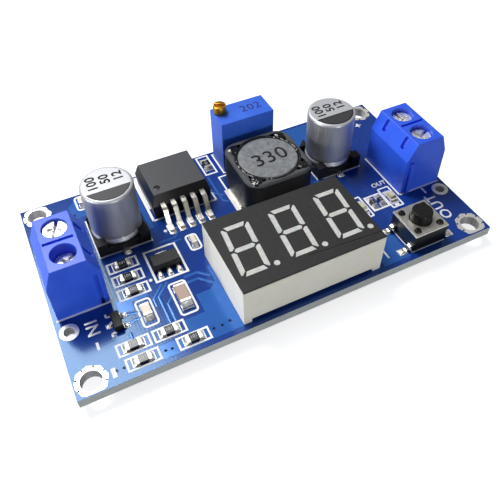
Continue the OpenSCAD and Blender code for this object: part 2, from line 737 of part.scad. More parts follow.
module inductor_shield() {
    h = coil_top - coil_z;
    color([0.2, 0.2, 0.21]) translate([coil_cx, coil_y, coil_z]) difference() {
        union() {
            rounded_block(coil_w, coil_corner_r, h - rim_chamfer);
            translate([0, 0, h - rim_chamfer]) hull() {
                rounded_block(coil_w, coil_corner_r, eps, $fn = 32);
                translate([0, 0, rim_chamfer - eps])
                    rounded_block(coil_w - 2 * rim_chamfer, coil_corner_r - rim_chamfer, eps, $fn = 32);
            }
        }
        translate([0, 0, -eps]) cylinder(d = coil_bore_d, h = h + 1, $fn = 64);
        lobes(h - lobe_depth, h + 1, 0);
    }
}

// The four lobes from height z0 to z1, grown by play
module lobes(z0, z1, play) {
    for (turn = [45 : 90 : 315]) rotate([0, 0, turn]) translate([lobe_at, 0, z0])
        cylinder(d = lobe_d + 2 * play, h = z1 - z0, $fn = 32);
}

module inductor_core() {
    h = coil_top - coil_z;
    r = core_d / 2;
    color("gray") translate([coil_cx, coil_y, coil_z]) rotate_extrude($fn = 64) polygon([
        [0, 0], [r, 0], [r, core_flange_t], [core_post_r, core_flange_t], [core_post_r, h - core_flange_t],
        [r, h - core_flange_t], [r, h - 0.15], [r - 0.15, h], [0, h]
    ]);
}

module inductor_winding() {
    h = coil_top - coil_z - 2 * core_flange_t;
    color([0.72, 0.42, 0.2]) translate([coil_cx, coil_y, coil_z + core_flange_t]) difference() {
        cylinder(r = core_d / 2 - 0.25, h = h);
        translate([0, 0, -eps]) cylinder(r = core_post_r, h = h + 2 * eps);
    }
}

// Glue in the four lobes, bridging the core's flange and the shield
module inductor_adhesive() {
    color([0.05, 0.05, 0.05]) translate([coil_cx, coil_y, coil_top - glue_t]) difference() {
        lobes(0, glue_t, -eps);
        translate([0, 0, -eps]) cylinder(d = core_d + 2 * eps, h = glue_t + 2 * eps, $fn = 64);
    }
}

module inductor_terminals() {
    middle = coil_w / 2 + coil_term_out - coil_term_l / 2;
    color("silver") for (s = [-1, 1]) translate([coil_cx + s * middle, coil_y, seat])
        block([coil_term_l, coil_term_w, coil_term_t]);
}

// ---------------------------------------------------------------- trimmer

trim_foot_h = 0.4;
trim_foot_l = 1.2;
trim_corner = [trim_cx - trim_l / 2, trim_y + trim_w / 2];
trim_axis = [trim_corner[0] + trim_screw_x, trim_corner[1] - trim_screw_y];
trim_stem_d = 1.6;
trim_stem_l = 2;

module trimmer_body() {
    color("cornflowerblue") difference() {
        translate([trim_cx, trim_y, board_t]) {
            translate([0, 0, trim_foot_h]) block([trim_l, trim_w, trim_h - trim_foot_h]);
            for (s = [-1, 1]) translate([s * (trim_l - trim_foot_l) / 2, 0, 0])
                block([trim_foot_l, trim_w, trim_foot_h + eps]);
        }
        translate([trim_axis[0], trim_axis[1], board_t + trim_h - trim_stem_l - 0.1])
            cylinder(d = trim_stem_d + 2 * screw_gap, h = 2 * trim_stem_l);
        for (x = trim_pin_xs) translate([trim_cx + x, trim_y, 0])
            cylinder(d = trim_pin_d + 0.02, h = board_t + trim_foot_h + 1.2);
    }
}

module trimmer_screw() {
    gap = 0.05;
    z = board_t + trim_h;
    color("goldenrod") translate([trim_axis[0], trim_axis[1], 0]) difference() {
        union() {
            translate([0, 0, z + gap]) cylinder(d = trim_screw_d, h = trim_screw_h - gap);
            translate([0, 0, z - trim_stem_l]) cylinder(d = trim_stem_d, h = trim_stem_l + 2 * gap);
        }
        translate([0, 0, z + trim_screw_h - 0.6]) rotate([0, 0, 65]) block([2 * trim_screw_d, 0.55, 1]);
    }
}

module trimmer_pins() {
    color("silver") for (x = trim_pin_xs) translate([trim_cx + x, trim_y, -lead_out])
        cylinder(d = trim_pin_d, h = lead_out + board_t + trim_foot_h + 1.2, $fn = 24);
}

// ---------------------------------------------------------------- display

function shear(p) = [p[0] + p[1] * tan(digit_slant), p[1]];
half_w = digit_w / 2;
half_h = digit_h / 2;
sw = segment_w;
segment_gap = 0.07;             // half the bare strip between neighbouring segments

// The seven segments of one digit, centred on the origin
function digit_segments() =
    let (g = segment_gap, xo = half_w, xi = half_w - sw, yo = half_h, yi = half_h - sw, c = sw / 2)
    [
        [[-xo + 0.45 + g, yo], [xo - 0.45 - g, yo], [xi - g, yi], [-xi + g, yi]],
        [[-xo + 0.45 + g, -yo], [xo - 0.45 - g, -yo], [xi - g, -yi], [-xi + g, -yi]],
        [[-xi - c + 2 * g, 0], [-xi + g, c], [xi - g, c], [xi + c - 2 * g, 0], [xi - g, -c], [-xi + g, -c]],
        for (sx = [-1, 1], sy = [-1, 1]) [
            [sx * xo, sy * (yo - c)], [sx * (xo - 0.3), sy * (yo - 0.3)], [sx * xi, sy * (yi - g)],
            [sx * xi, sy * (c + g)], [sx * (xo - c), sy * 2 * g], [sx * xo, sy * 3 * g]
        ]
    ];

// Every window in the face, grown by play, as solids standing on z = 0
module windows(h, play) {
    for (i = [-1 : 1]) translate([i * digit_pitch - 0.1, 0, 0]) {
        for (s = digit_segments()) linear_extrude(h) offset(delta = play) polygon([for (p = s) shear(p)]);
        translate([digit_pitch * 0.365, -half_h + point_d / 2 - 0.15, 0])
            cylinder(d = point_d + 2 * play, h = h, $fn = 24);
    }
}

disp_top = board_t + disp_h;

module display_housing() {
    shell_h = disp_h - disp_face_t;
    color("antiquewhite") translate([disp_cx, disp_y, board_t]) difference() {
        block([disp_l, disp_w, shell_h]);
        // open underside, closed above by the solid reflector block
        translate([0, 0, -eps]) block([
            disp_l - 2 * disp_wall, disp_w - 2 * disp_wall, disp_base_z - board_t + disp_base_t + eps]);
        // gaps between the feet
        translate([0, 0, -eps]) block([disp_l - 2 * disp_foot_l, 2 * disp_w, disp_foot_h + eps]);
    }
}

module display_face() {
    color([0.2, 0.2, 0.2]) translate([disp_cx, disp_y, disp_top - disp_face_t]) difference() {
        block([disp_l - 0.1, disp_w - 0.1, disp_face_t]);
        translate([0, 0, -eps]) windows(disp_face_t + 2 * eps, 0.01);
    }
}

module display_segments() {
    color("gainsboro") translate([disp_cx, disp_y, disp_top - disp_face_t]) windows(disp_face_t, 0);
}

// Potted carrier that closes the housing's underside and holds the pins
module display_base() {
    color("dimgray") translate([disp_cx, disp_y, disp_base_z]) difference() {
        block([disp_l - 2 * disp_wall - 0.04, disp_w - 2 * disp_wall - 0.04, disp_base_t]);
        for (x = disp_pin_xs, y = disp_pin_ys) translate([x, y, -eps])
            cylinder(d = disp_pin_d + 0.04, h = disp_base_t + 2 * eps, $fn = 24);
    }
}

module display_pins() {
    color("silver") for (x = disp_pin_xs, y = disp_pin_ys) translate([disp_cx + x, disp_y + y, -lead_out])
        cylinder(d = disp_pin_d, h = lead_out + disp_base_z + disp_base_t, $fn = 24);
}

// ---------------------------------------------------------------- tact switch

cover_t = 0.3;
button_flange_d = 4.4;
button_flange_t = 0.5;
dome_t = 0.1;
dome_r = 2.2;
button_foot_z = 1.5;            // underside of the button above the board at rest
rivet_at = switch_w / 2 - 0.95;
rivet_d = 0.8;
switch_floor_t = 0.8;

module switch_base() {
    cavity_d = button_flange_d + 0.3;
    h = switch_body_h - cover_t;
    color([0.08, 0.08, 0.08]) translate([switch_cx, switch_y, board_t]) {
        difference() {
            translate([0, 0, plating_t]) block([switch_w - 0.1, switch_w - 0.1, h - plating_t]);
            translate([0, 0, switch_floor_t]) cylinder(d = cavity_d, h = h);
            // channels for the leads
            for (sx = [-1, 1], sy = [-1, 1]) translate([sx * switch_w / 2, sy * switch_lead_dy, 0])
                block([0.8, 0.8, 1.3]);
        }
        // heads of the four rivets that hold the cover
        for (sx = [-1, 1], sy = [-1, 1]) translate([sx * rivet_at, sy * rivet_at, h - eps]) {
            cylinder(d = rivet_d, h = cover_t + 2 * eps, $fn = 24);
            translate([0, 0, cover_t + 0.02]) cylinder(d1 = rivet_d + 0.35, d2 = rivet_d, h = 0.3, $fn = 24);
        }
    }
}

module switch_cover() {
    color("silver") translate([switch_cx, switch_y, board_t + switch_body_h - cover_t]) difference() {
        block([switch_w, switch_w, cover_t]);
        translate([0, 0, -eps]) cylinder(d = button_d + 2 * button_gap, h = cover_t + 2 * eps);
        for (sx = [-1, 1], sy = [-1, 1]) translate([sx * rivet_at, sy * rivet_at, -eps])
            cylinder(d = rivet_d + 0.04, h = cover_t + 2 * eps, $fn = 24);
    }
}

module switch_button() {
    flange_top = switch_body_h - cover_t - 0.02;
    stem_r = 0.8;
    draft_z = switch_body_h + 0.4;
    edge = 0.15;
    top_r = button_d / 2 - 0.08;
    color([0.12, 0.12, 0.12]) translate([switch_cx, switch_y, board_t]) rotate_extrude($fn = 64) polygon([
        [0, button_foot_z], [stem_r, button_foot_z], [stem_r, flange_top - button_flange_t],
        [button_flange_d / 2, flange_top - button_flange_t], [button_flange_d / 2, flange_top],
        [button_d / 2, flange_top], [button_d / 2, draft_z], [top_r, switch_h - edge],
        [top_r - edge, switch_h], [0, switch_h]
    ]);
}

// Snap dome under the button, shown relaxed
module switch_dome() {
    crown_z = button_foot_z - button_travel - 0.05;
    sag = 0.05;
    knee_r = dome_r * 0.55;
    color("silver") translate([switch_cx, switch_y, board_t]) rotate_extrude($fn = 48) polygon([
        [0, crown_z - dome_t], [knee_r, crown_z - dome_t - sag], [dome_r - dome_t, switch_floor_t],
        [dome_r, switch_floor_t], [dome_r, switch_floor_t + dome_t], [knee_r, crown_z - sag], [0, crown_z]
    ]);
}

module switch_terminals() {
    color("silver") for (sx = [0, 1], sy = [-1, 1]) translate([switch_cx, switch_y, seat]) mirror([sx, 0, 0])
        translate([switch_w / 2 - switch_lead_in, sy * switch_lead_dy, 0]) rotate([0, 0, -90])
            gull_lead(0.95, switch_lead_x - switch_w / 2 + switch_lead_in, 0.7, 0.2, 0.7);
}

// ---------------------------------------------------------------- small parts

module at_chip(c) { translate([c[0], c[1], seat]) rotate([0, 0, c[2]]) children(); }

// Ceramic between the tinned ends of each chip
module chip_bodies(list, shade) {
    color(shade) for (c = list) at_chip(c) translate([0, 0, chip_step])
        block([c[3] - 2 * chip_end, c[4] - 2 * chip_step, c[5] - 2 * chip_step]);
}

module chip_ends(list) {
    color("gainsboro") for (c = list, s = [-1, 1]) at_chip(c)
        translate([s * (c[3] - chip_end) / 2, 0, 0]) block([chip_end, c[4], c[5]]);
}

module resistor_bodies() { chip_bodies(resistors, [0.15, 0.15, 0.16]); }
module resistor_ends() { chip_ends(resistors); }
module ceramic_capacitor_bodies() { chip_bodies(ceramics, "tan"); }
module ceramic_capacitor_ends() { chip_ends(ceramics); }

module indicator_led_bases() {
    color("white") for (c = leds) at_chip(c) block([c[3], c[4], led_base_t]);
}

module indicator_led_lenses() {
    color("whitesmoke") for (c = leds) at_chip(c) translate([0, 0, led_base_t])
        drafted([led_lens[0], led_lens[1], c[5] - led_base_t], led_lens_draft);
}

// Moulded body with a waist at its parting line, standing dz above the seat
module moulded(at, size, dz, draft) {
    lower = size[2] * 0.45;
    translate([at[0], at[1], seat + dz]) {
        mirror([0, 0, 1]) translate([0, 0, -lower]) drafted([size[0], size[1], lower], draft / 2);
        translate([0, 0, lower]) drafted([size[0], size[1], size[2] - lower], draft);
    }
}

module logic_regulator_leads_blank() {
    tuck = 0.3;
    lead_y = (sot89_body[1] + sot89_lead[1] - tuck) / 2;
    tab_y = (sot89_body[1] + sot89_tab[1] - tuck) / 2;
    for (i = [-1 : 1]) translate([sot89[0] + i * sot89_pitch, sot89[1] - lead_y, seat])
        block([sot89_lead[0], sot89_lead[1] + tuck, sot89_lead[2]]);
    translate([sot89[0], sot89[1] + tab_y, seat]) block([sot89_tab[0], sot89_tab[1] + tuck, sot89_tab[2]]);
}

module logic_regulator_body() {
    color([0.2, 0.2, 0.21]) difference() {
        moulded(sot89, sot89_body, 0, 0.2);
        translate([0, 0, -eps]) logic_regulator_leads_blank();
        logic_regulator_leads_blank();
    }
}

module logic_regulator_leads() { color("silver") logic_regulator_leads_blank(); }

module transistor_body() { color([0.1, 0.1, 0.1]) moulded(sot23, sot23_body, 0.05, 0.12); }

module transistor_leads() {
    t = 0.13;
    half = sot23_body[0] / 2;
    color("silver") translate([sot23[0], sot23[1], seat]) {
        translate([-half, 0, 0]) rotate([0, 0, 90]) gull_lead(0.52, 0.62, 0.3, t, 0.4);
        for (s = [-1, 1]) translate([half, s * sot23_pitch, 0]) rotate([0, 0, -90])
            gull_lead(0.52, 0.62, 0.3, t, 0.4);
    }
}

// The diode's strips leave its ends and fold down and under it
module catch_diode_body() { color([0.1, 0.1, 0.1]) moulded(diode, diode_body, 0.25, 0.25); }

module catch_diode_leads() {
    t = 0.2;
    color("silver") for (turn = [90, -90]) translate([diode[0], diode[1], seat]) rotate([0, 0, turn])
        bent_lead([[2.15, 1.2], [2.5, 1.2], [2.5, t / 2], [1.4, t / 2]], t, diode_lead_w);
}

module controller_body() { color([0.12, 0.12, 0.12]) moulded(chip, chip_body, 0.05, 0.15); }

module controller_leads() {
    reach = (chip_span - chip_body[1]) / 2;
    color("silver") for (i = [0 : chip_leads - 1], side = [0, 1])
        translate([chip[0] + (i - (chip_leads - 1) / 2) * chip_pitch, chip[1], seat]) mirror([0, side, 0])
            translate([0, chip_body[1] / 2, 0]) gull_lead(0.5, reach, 0.45, chip_lead_t, 0.22);
}

// ---------------------------------------------------------------- drawing

circuit_board();
plated_holes();
solder_pads();
solder_joints();
input_terminal_housing();
input_terminal_contacts();
input_clamp_plate_front();
input_clamp_plate_back();
input_clamp_screw_front();
input_clamp_screw_back();
output_terminal_housing();
output_terminal_contacts();
output_clamp_plate_front();
output_clamp_plate_back();
output_clamp_screw_front();
output_clamp_screw_back();
input_capacitor_can();
input_capacitor_base();
input_capacitor_leads();
output_capacitor_can();
output_capacitor_base();
output_capacitor_leads();
regulator_body();
regulator_tab();
regulator_leads();
inductor_shield();
inductor_core();
inductor_winding();
inductor_adhesive();
inductor_terminals();
trimmer_body();
trimmer_screw();
trimmer_pins();
display_housing();
display_face();
display_segments();
display_base();
display_pins();
switch_base();
switch_cover();
switch_button();
switch_dome();
switch_terminals();
logic_regulator_body();
logic_regulator_leads();
transistor_body();
transistor_leads();
resistor_bodies();
resistor_ends();
ceramic_capacitor_bodies();
ceramic_capacitor_ends();
indicator_led_bases();
indicator_led_lenses();
catch_diode_body();
catch_diode_leads();
controller_body();
controller_leads();
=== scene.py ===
"""Finishes, prints, solder and stage for a step-down converter module."""

import itertools
import math

import bmesh
import bpy
from mathutils import Euler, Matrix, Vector


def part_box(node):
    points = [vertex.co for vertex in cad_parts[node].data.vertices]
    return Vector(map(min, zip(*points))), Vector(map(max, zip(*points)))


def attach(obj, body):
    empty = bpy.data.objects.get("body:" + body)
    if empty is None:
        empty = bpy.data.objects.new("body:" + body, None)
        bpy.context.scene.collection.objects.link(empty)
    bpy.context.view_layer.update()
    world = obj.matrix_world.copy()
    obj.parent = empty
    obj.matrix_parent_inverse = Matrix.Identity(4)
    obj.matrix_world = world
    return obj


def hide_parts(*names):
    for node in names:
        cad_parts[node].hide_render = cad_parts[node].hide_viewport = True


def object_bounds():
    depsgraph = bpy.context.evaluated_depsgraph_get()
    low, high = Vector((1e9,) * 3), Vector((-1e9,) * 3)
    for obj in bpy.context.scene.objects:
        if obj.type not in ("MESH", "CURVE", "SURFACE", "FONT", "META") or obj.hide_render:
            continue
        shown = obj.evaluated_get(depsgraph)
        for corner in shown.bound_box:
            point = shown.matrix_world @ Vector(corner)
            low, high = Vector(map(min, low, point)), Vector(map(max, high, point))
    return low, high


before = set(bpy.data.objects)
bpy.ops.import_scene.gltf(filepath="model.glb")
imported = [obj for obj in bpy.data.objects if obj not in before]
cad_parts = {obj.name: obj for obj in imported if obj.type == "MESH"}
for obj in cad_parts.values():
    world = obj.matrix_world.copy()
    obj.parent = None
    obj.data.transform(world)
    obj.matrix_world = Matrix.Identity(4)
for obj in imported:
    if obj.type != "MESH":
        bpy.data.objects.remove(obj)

bl_info = {
    "name": "Converter Module Finisher",
    "version": (1, 0, 0),
    "blender": (4, 5, 0),
    "location": "View3D > Sidebar > Converter",
    "description": "Dresses a circuit board module with its finishes, prints, solder and stage",
    "category": "Object",
}

MM = 0.001
CAD_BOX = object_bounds()
BOARD_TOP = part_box("circuit_board")[1].z
PAD_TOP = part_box("solder_pads")[1].z

# Sockets of a colour Mix node
MIX_A, MIX_B, MIX_RESULT = 6, 7, 2
# Scale of a Wave texture that repeats once in a metre
WAVE = 0.32
# Tone that the blue lacquer gives to what it mirrors
LACQUER_GLARE = "#b4dcf8"


# ---------------------------------------------------------------- colour and nodes


def linear(code):
    """Scene-linear colour of an sRGB hex code."""
    channels = [int(code[i:i + 2], 16) / 255 for i in (1, 3, 5)]
    return tuple(c / 12.92 if c <= 0.04045 else ((c + 0.055) / 1.055) ** 2.4 for c in channels)


def rgba(color):
    """A colour with full opacity, from a hex code or from a colour property."""
    return (*(linear(color) if isinstance(color, str) else color), 1.0)


def add_node(tree, kind, inputs=None, **settings):
    """Adds a shader node with its settings, and fills or links its inputs."""
    new = tree.nodes.new(kind)
    for name, value in settings.items():
        setattr(new, name, value)
    for key, value in (inputs or {}).items():
        if isinstance(value, bpy.types.NodeSocket):
            tree.links.new(value, new.inputs[key])
        else:
            new.inputs[key].default_value = value
    return new


def blend(tree, amount, low, high):
    """A colour between two others, each a socket or a colour."""
    colors = {key: color if isinstance(color, bpy.types.NodeSocket) else rgba(color)
              for key, color in ((MIX_A, low), (MIX_B, high))}
    return add_node(tree, "ShaderNodeMix", {0: amount, **colors}, data_type="RGBA").outputs[MIX_RESULT]


def spread(tree, value, low, high, start=0.0, end=1.0):
    """Maps what a value does between start and end onto low to high."""
    return add_node(tree, "ShaderNodeMapRange", {0: value, 1: start, 2: end, 3: low, 4: high}).outputs[0]


def calculate(tree, operation, first, second=0.0):
    """One step of arithmetic on sockets or numbers."""
    return add_node(tree, "ShaderNodeMath", {0: first, 1: second}, operation=operation).outputs[0]


def noise(tree, place, size_mm, detail):
    """Noise in patches of a given size."""
    inputs = {"Vector": place, "Scale": 1 / (size_mm * MM), "Detail": detail}
    return add_node(tree, "ShaderNodeTexNoise", inputs).outputs["Fac"]


def waves(tree, place, pitch_mm, direction="X", distortion=0.0):
    """Parallel waves a given distance apart."""
    inputs = {"Vector": place, "Scale": WAVE / (pitch_mm * MM), "Distortion": distortion}
    return add_node(tree, "ShaderNodeTexWave", inputs, bands_direction=direction).outputs["Fac"]


def stretched(tree, place, scale, turn=0.0):
    """The place on the piece, scaled and turned, so that a texture becomes streaks."""
    return add_node(tree, "ShaderNodeMapping", {"Vector": place, "Rotation": (0, 0, turn), "Scale": scale}).outputs[0]


def upward(tree):
    """1 where a face looks up or down, 0 where it stands upright."""
    normal = add_node(tree, "ShaderNodeTexCoord").outputs["Normal"]
    up = add_node(tree, "ShaderNodeSeparateXYZ", {0: normal}).outputs["Z"]
    return calculate(tree, "GREATER_THAN", calculate(tree, "ABSOLUTE", up), 0.5)


def seen_directly(tree):
    """1 for what the camera sees, also through clear things, and 0 for light that falls on the part."""
    path = add_node(tree, "ShaderNodeLightPath")
    return calculate(tree, "MAXIMUM", path.outputs["Is Camera Ray"], path.outputs["Is Transmission Ray"])


def start_material(name, color, roughness, metallic=0.0, ior=1.5):
    """A material with one shader: (material, its tree, the shader, the place on the piece)."""
    material = bpy.data.materials.new(name)
    material.use_nodes = True
    tree = material.node_tree
    shader = tree.nodes["Principled BSDF"]
    shader.inputs["Base Color"].default_value = rgba(color)
    shader.inputs["Roughness"].default_value = roughness
    shader.inputs["Metallic"].default_value = metallic
    if metallic < 1:
        shader.inputs["IOR"].default_value = ior
    place = add_node(tree, "ShaderNodeTexCoord").outputs["Object"]
    return material, tree, shader, place


def drive(tree, shader, **sockets):
    """Links sockets to the shader's inputs, which are named with underscores for spaces."""
    for name, socket in sockets.items():
        tree.links.new(socket, shader.inputs[name.replace("_", " ")])


def tint(tree, shader, place, low, high, size_mm, contrast=0.25):
    """The base colour drifts between two tones in patches of a given size. Gives the colour socket."""
    amount = spread(tree, noise(tree, place, size_mm, 4), 0, 1, 0.5 - contrast, 0.5 + contrast)
    tone = blend(tree, amount, low, high)
    drive(tree, shader, Base_Color=tone)
    return tone


def bumps(tree, shader, height, height_mm, edge_mm):
    """Turns a height into bumps, on edges rounded to a radius so that they catch the light."""
    edge = add_node(tree, "ShaderNodeBevel", {"Radius": edge_mm * MM}, samples=4)
    bump = add_node(tree, "ShaderNodeBump", {"Height": height, "Distance": height_mm * MM,
                                             "Normal": edge.outputs["Normal"]})
    drive(tree, shader, Normal=bump.outputs["Normal"])


def relief(tree, shader, place, size_mm, height_mm, detail=2, edge_mm=0.05):
    """Bumps of a given size and height over the whole surface, and its edges' radius."""
    bumps(tree, shader, noise(tree, place, size_mm, detail), height_mm, edge_mm)


def patchy_gloss(tree, shader, place, size_mm, smooth, rough):
    """The roughness varies between two values in patches of a given size."""
    drive(tree, shader, Roughness=spread(tree, noise(tree, place, size_mm, 3), smooth, rough, 0.3, 0.7))


# ---------------------------------------------------------------- the real materials

# Plain finishes. tones: low, high, patch size, contrast; None is the finish's own colour. gloss: patch size, smooth,
# rough. grain: size, height, detail, radius of the edges. Sizes are in millimetres, and in metres under inputs.
FINISHES = {
    # copper under blue mask: the same lacquer, lighter because the metal shines through
    "masked_copper": {"roughness": 0.15, "metallic": 0.1, "ior": 1.55, "tones": (None, "#2b5aae", 6),
                      "grain": (1.2, 0.004), "inputs": {"Specular Tint": rgba(LACQUER_GLARE)}},
    # hot-air levelled tin on copper: bright, slightly pooled and uneven
    "levelled_tin": {"color": "#e9e8e5", "roughness": 0.35, "metallic": 0.6, "gloss": (1.5, 0.25, 0.5),
                     "grain": (0.9, 0.012)},
    # reflowed solder: a bright, smooth skin that dulls in patches as it freezes
    "flowed_solder": {"color": "#dfdfdd", "roughness": 0.25, "metallic": 0.85, "gloss": (0.5, 0.18, 0.45),
                      "grain": (0.5, 0.02)},
    # electroplated matt tin on copper leads: soft satin with fine grain
    "matt_tin": {"color": "#d9d6cc", "roughness": 0.32, "metallic": 1.0, "gloss": (0.4, 0.25, 0.45),
                 "grain": (0.15, 0.004, 2, 0.12)},
    # glass-filled polyamide from a polished mould: bright blue, satin, with faint flow marks
    "moulded_polyamide": {"roughness": 0.38, "ior": 1.53, "tones": (None, "#3568f2", 3, 0.3),
                          "grain": (0.35, 0.006, 4, 0.14),
                          "inputs": {"Subsurface Weight": 0.06, "Subsurface Scale": 0.4 * MM}},
    # tin-plated pressed steel of the contact cages: bright, with press marks
    "pressed_contact_steel": {"color": "#cdc9c0", "roughness": 0.35, "metallic": 1.0, "grain": (0.3, 0.01)},
    # nickel-plated cold-headed screw: bright, with a rumpled strike round the recess
    "nickel_screw": {"color": "#f8f7f4", "roughness": 0.28, "metallic": 0.7, "gloss": (0.5, 0.15, 0.42),
                     "grain": (0.35, 0.035, 3)},
    # black moulded base: dense, almost without highlights
    "black_phenolic": {"color": "#0c0c0f", "roughness": 0.5, "ior": 1.35, "tones": ("#0a0a0c", "#15151a", 1.5),
                       "grain": (0.2, 0.008)},
    # ground ferrite face: mid grey, smeared by the wheel
    "ground_ferrite": {"color": "#74777b", "roughness": 0.4, "ior": 1.7, "tones": ("#5f6265", "#8d9094", 0.8),
                       "grain": (0.3, 0.012, 4, 0.15)},
    # black epoxy glue: glossy, pooled, with slow waves
    "cured_glue": {"color": "#030303", "roughness": 0.08, "ior": 1.55, "grain": (0.8, 0.25, 1, 0.2)},
    # moulded thermoset of the trimmer: clear mid blue, satin
    "trimmer_thermoset": {"roughness": 0.4, "tones": (None, "#3970e6", 2.5, 0.3), "grain": (0.2, 0.005, 3, 0.15)},
    # filled polycarbonate of the display: creamy off-white, matt from a spark-eroded mould
    "display_moulding": {"roughness": 0.5, "ior": 1.58, "tones": (None, "#eae8da", 2, 0.3),
                         "grain": (0.15, 0.006, 3, 0.12),
                         "inputs": {"Subsurface Weight": 0.1, "Subsurface Scale": 0.5 * MM}},
    # cast epoxy with diffuser: milky, uneven within each bar
    "milky_segments": {"color": "#cfcfcb", "roughness": 0.35, "ior": 1.52, "tones": ("#c2c2be", "#dcdcda", 0.9),
                       "grain": (0.3, 0.006), "inputs": {"Subsurface Weight": 0.2, "Subsurface Scale": 0.3 * MM}},
    # clear potting resin over a carrier: amber grey and glossy
    "potting_resin": {"color": "#6e6a5c", "roughness": 0.15, "ior": 1.55, "tones": ("#5f5b4e", "#7d7969", 1.5),
                      "grain": (1.5, 0.03)},
    # black mouldings of the switch, greyer where they are rubbed
    "switch_base_moulding": {"color": "#030303", "roughness": 0.28, "ior": 1.4, "tones": (None, "#0a0a0a", 0.5),
                             "grain": (0.15, 0.006, 3, 0.1)},
    "button_moulding": {"roughness": 0.28, "ior": 1.4, "tones": (None, "#1c1c1d", 0.5),
                        "grain": (0.15, 0.006, 3, 0.1)},
    # black glaze on alumina: glassy and slightly domed at the edges
    "resistor_glaze": {"color": "#0d0d10", "roughness": 0.2, "tones": ("#0a0a0c", "#1a1a1f", 0.4),
                       "grain": (0.4, 0.01)},
    # white laminate under the indicator lamps
    "lamp_laminate": {"color": "#e8e5da", "roughness": 0.5, "tones": ("#ddd9cc", "#f2f0e8", 0.4)},
    # water-clear cast epoxy, faintly yellow over its phosphor
    "clear_lens": {"color": "#eeeacb", "roughness": 0.12, "ior": 1.52, "tones": ("#e8e2b4", "#f6f4e2", 0.5),
                   "inputs": {"Transmission Weight": 0.25}},
    # the shadowed inside of a small drilled hole
    "drilled_dark": {"color": "#101430", "roughness": 0.6, "tones": ("#0c0f26", "#1a2148", 0.3)},
}


def finish(name, color=None):
    """A plain finish from the table, in a colour of the settings where one is given."""
    row = FINISHES[name]
    color = row["color"] if color is None else color
    material, tree, shader, place = start_material(name, color, row["roughness"], row.get("metallic", 0.0),
                                                   row.get("ior", 1.5))
    if "tones" in row:
        low, *others = row["tones"]
        tint(tree, shader, place, color if low is None else low, *others)
    if "gloss" in row:
        patchy_gloss(tree, shader, place, *row["gloss"])
    if "grain" in row:
        relief(tree, shader, place, *row["grain"])
    for key, value in row.get("inputs", {}).items():
        shader.inputs[key].default_value = value
    return material


def ink(name, color, roughness=0.5):
    """Screened epoxy ink: flat, with a faint grain."""
    material, tree, shader, place = start_material(name, color, roughness)
    relief(tree, shader, place, 0.25, 0.008, 3)
    return material


def masked_laminate(color, edge_color):
    """Glass-epoxy laminate under glossy blue mask: smooth lacquer on the faces, bare sawn glass at the edge."""
    material, tree, shader, place = start_material("masked_laminate", color, 0.16, 0.0, 1.55)
    shader.inputs["Specular Tint"].default_value = rgba(LACQUER_GLARE)
    face = tint(tree, shader, place, color, "#1a3f92", 9, 0.2)
    # the glass weave's 0.5 mm yarns show through the mask as faint relief
    warp, weft = (waves(tree, place, 0.5, direction, 1.5) for direction in "XY")
    bumps(tree, shader, calculate(tree, "ADD", warp, weft), 0.0015, 0.06)
    # sawn edge: grey glass in horizontal plies about 0.2 mm thick
    plies = noise(tree, stretched(tree, place, (0.15, 0.15, 1)), 0.25, 5)
    is_face = upward(tree)
    drive(tree, shader, Base_Color=blend(tree, is_face, blend(tree, plies, edge_color, "#c9ccc6"), face),
          Roughness=spread(tree, is_face, 0.75, 0.16))
    return material


def drawn_aluminium():
    """Deep-drawn aluminium can with a clear lacquer: satin, with draw marks up the wall and a paler, matt top."""
    material, tree, shader, place = start_material("drawn_aluminium", "#b6b8bd", 0.45, 0.8)
    marks = noise(tree, stretched(tree, place, (1, 1, 0.06)), 0.25, 4)
    bumps(tree, shader, marks, 0.003, 0.25)
    top = upward(tree)
    drive(tree, shader, Base_Color=blend(tree, top, "#b6b8bd", "#c6c8cd"), Metallic=spread(tree, top, 0.8, 0.4),
          Roughness=spread(tree, marks, 0.36, 0.52, 0.3, 0.7))
    return material


def moulded_epoxy(name, color, grain, shaded_wall, specular=0.5):
    """Transfer-moulded epoxy package: a top greyed by its silica filler, and upright walls painted darker than the top
    as painted shade.
    """
    material, tree, shader, place = start_material(name, color, 0.45)
    top = tint(tree, shader, place, color, grain, 0.12, 0.3)
    # the upright walls take the darker tone: painted shade, since the light falls on the top
    drive(tree, shader, Base_Color=blend(tree, upward(tree), shaded_wall, top))
    shader.inputs["Specular IOR Level"].default_value = specular
    relief(tree, shader, place, 0.12, 0.006, 3, 0.08)
    return material


def fired_ferrite():
    """Pressed and fired ferrite: black, pitted sides with odd glints, and a top rim painted grey: partly the ground
    face's own grey, partly a painted sheen.
    """
    material, tree, shader, place = start_material("fired_ferrite", "#0e0e10", 0.5, 0.0, 1.35)
    side = tint(tree, shader, place, "#030304", "#151615", 0.22, 0.2)
    # the top faces take the grey: the ground ferrite's own tone, and also a painted sheen
    drive(tree, shader, Base_Color=blend(tree, upward(tree), side, "#4d4f53"))
    relief(tree, shader, place, 0.25, 0.03, 4, 0.3)
    return material


def enamelled_copper():
    """Enamelled copper wire, in turns 0.6 mm apart."""
    material, tree, shader, place = start_material("enamelled_copper", "#b5622c", 0.25, 0.6)
    bumps(tree, shader, waves(tree, place, 0.6, "Z"), 0.15, 0.1)
    return material


def turned_brass():
    """Turned brass: warm and bright, with turning rings about 0.1 mm apart."""
    material, tree, shader, place = start_material("turned_brass", "#c79232", 0.26, 1.0)
    bumps(tree, shader, waves(tree, place, 0.12, "Z", 0.6), 0.006, 0.12)
    patchy_gloss(tree, shader, place, 0.6, 0.2, 0.4)
    return material


